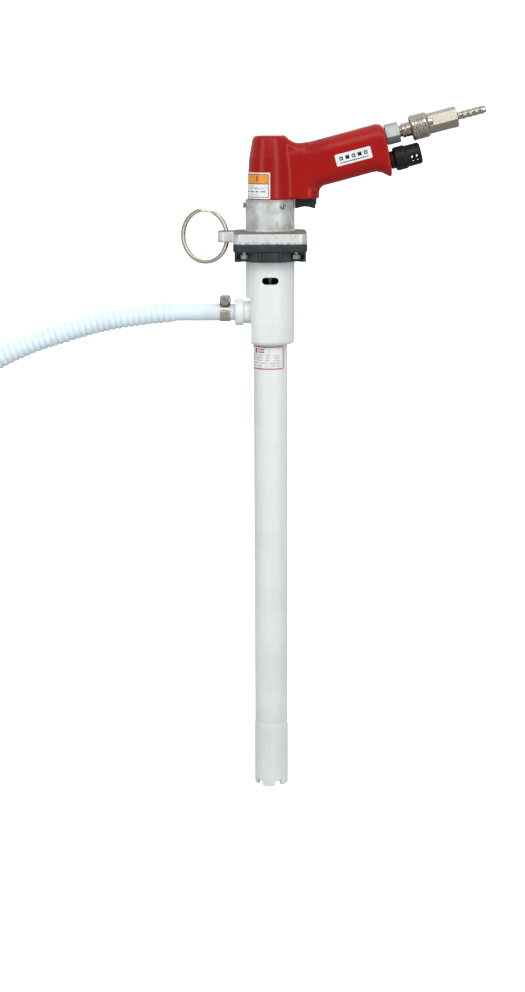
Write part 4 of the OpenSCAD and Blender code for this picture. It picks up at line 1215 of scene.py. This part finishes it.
def addStudio(s):
    floorFinish = bpy.data.materials.new("studioFloor")
    floorFinish.use_nodes = True
    tree = floorFinish.node_tree
    shader = tree.nodes["Principled BSDF"]
    place = tree.nodes.new("ShaderNodeTexCoord").outputs["Object"]
    direct = tree.nodes.new("ShaderNodeLightPath").outputs["Is Camera Ray"]
    dim = blendColour(tree, noise(tree, place, 4.0), (0.36, 0.36, 0.36, 1), (0.4, 0.4, 0.4, 1))
    colour = blendColour(tree, direct, dim, (0.9, 0.9, 0.9, 1))
    tree.links.new(colour, shader.inputs["Base Color"])
    shader.inputs["Roughness"].default_value = 0.9
    shader.inputs["Specular IOR Level"].default_value = 0.1
    tree.links.new(blendColour(tree, direct, (0, 0, 0, 1), (1, 1, 1, 1)), shader.inputs["Emission Color"])
    shader.inputs["Emission Strength"].default_value = 0.95
    half = s["half"]
    points = [(x, y, s["floor"]) for y in (-half, 0.0, half) for x in (-half, half)]
    addPiece("studioFloor", points, [(0, 1, 3, 2), (2, 3, 5, 4)], floorFinish)

    world = bpy.data.worlds.new("studio")
    bpy.context.scene.world = world
    world.use_nodes = True
    tree = world.node_tree
    tree.nodes.clear()
    way = tree.nodes.new("ShaderNodeTexCoord").outputs["Generated"]
    x, y, z = axes(tree, way)
    front = blendColour(tree, remap(tree, z, -0.3, 0.8), (0.24, 0.25, 0.26, 1), (0.5, 0.51, 0.52, 1))
    sky = blendColour(tree, remap(tree, y, -0.35, 0.5), front, (1.0, 1.0, 1.0, 1))  # bright behind
    seen = tree.nodes.new("ShaderNodeLightPath").outputs["Is Camera Ray"]
    shown = blendColour(tree, seen, sky, (1.05, 1.05, 1.05, 1))
    back = addNode(tree, "ShaderNodeBackground", Color=shown, Strength=1.0)
    out = tree.nodes.new("ShaderNodeOutputWorld")
    tree.links.new(back.outputs[0], out.inputs[0])


lightSet = {
    "rightBox": {"place": (0.95, -1.35, 0.45), "aim": (0, 0, -0.05), "size": (0.28, 1.7), "power": 11.5},
    "leftBox": {"place": (-1.2, -1.15, 0.5), "aim": (0, 0, -0.05), "size": (0.3, 1.7), "power": 9.5},
    "topBox": {"place": (0.1, -0.2, 1.7), "aim": (0, 0, 0.1), "size": (1.2, 1.2), "power": 2.5},
    "highFront": {"place": (0.0, -2.0, 1.9), "aim": (0, 0, -0.1), "size": (1.6, 1.2), "power": 20.0},
    "lowFront": {"place": (0.0, -2.2, -1.1), "aim": (0, 0, -0.2), "size": (2.0, 0.8), "power": 10.5},
}


def addLights(lights):
    for name, s in lights.items():
        data = bpy.data.lights.new(name, "AREA")
        data.shape = "RECTANGLE"
        data.size, data.size_y = s["size"]
        data.energy = s["power"]
        lamp = bpy.data.objects.new(name, data)
        lamp.location = s["place"]
        lamp.rotation_euler = (Vector(s["aim"]) - Vector(s["place"])).to_track_quat("-Z", "Y").to_euler()
        bpy.context.scene.collection.objects.link(lamp)


addStudio(studioSet)
addLights(lightSet)
bpy.context.scene.view_settings.view_transform = "Standard"
print("studio built")
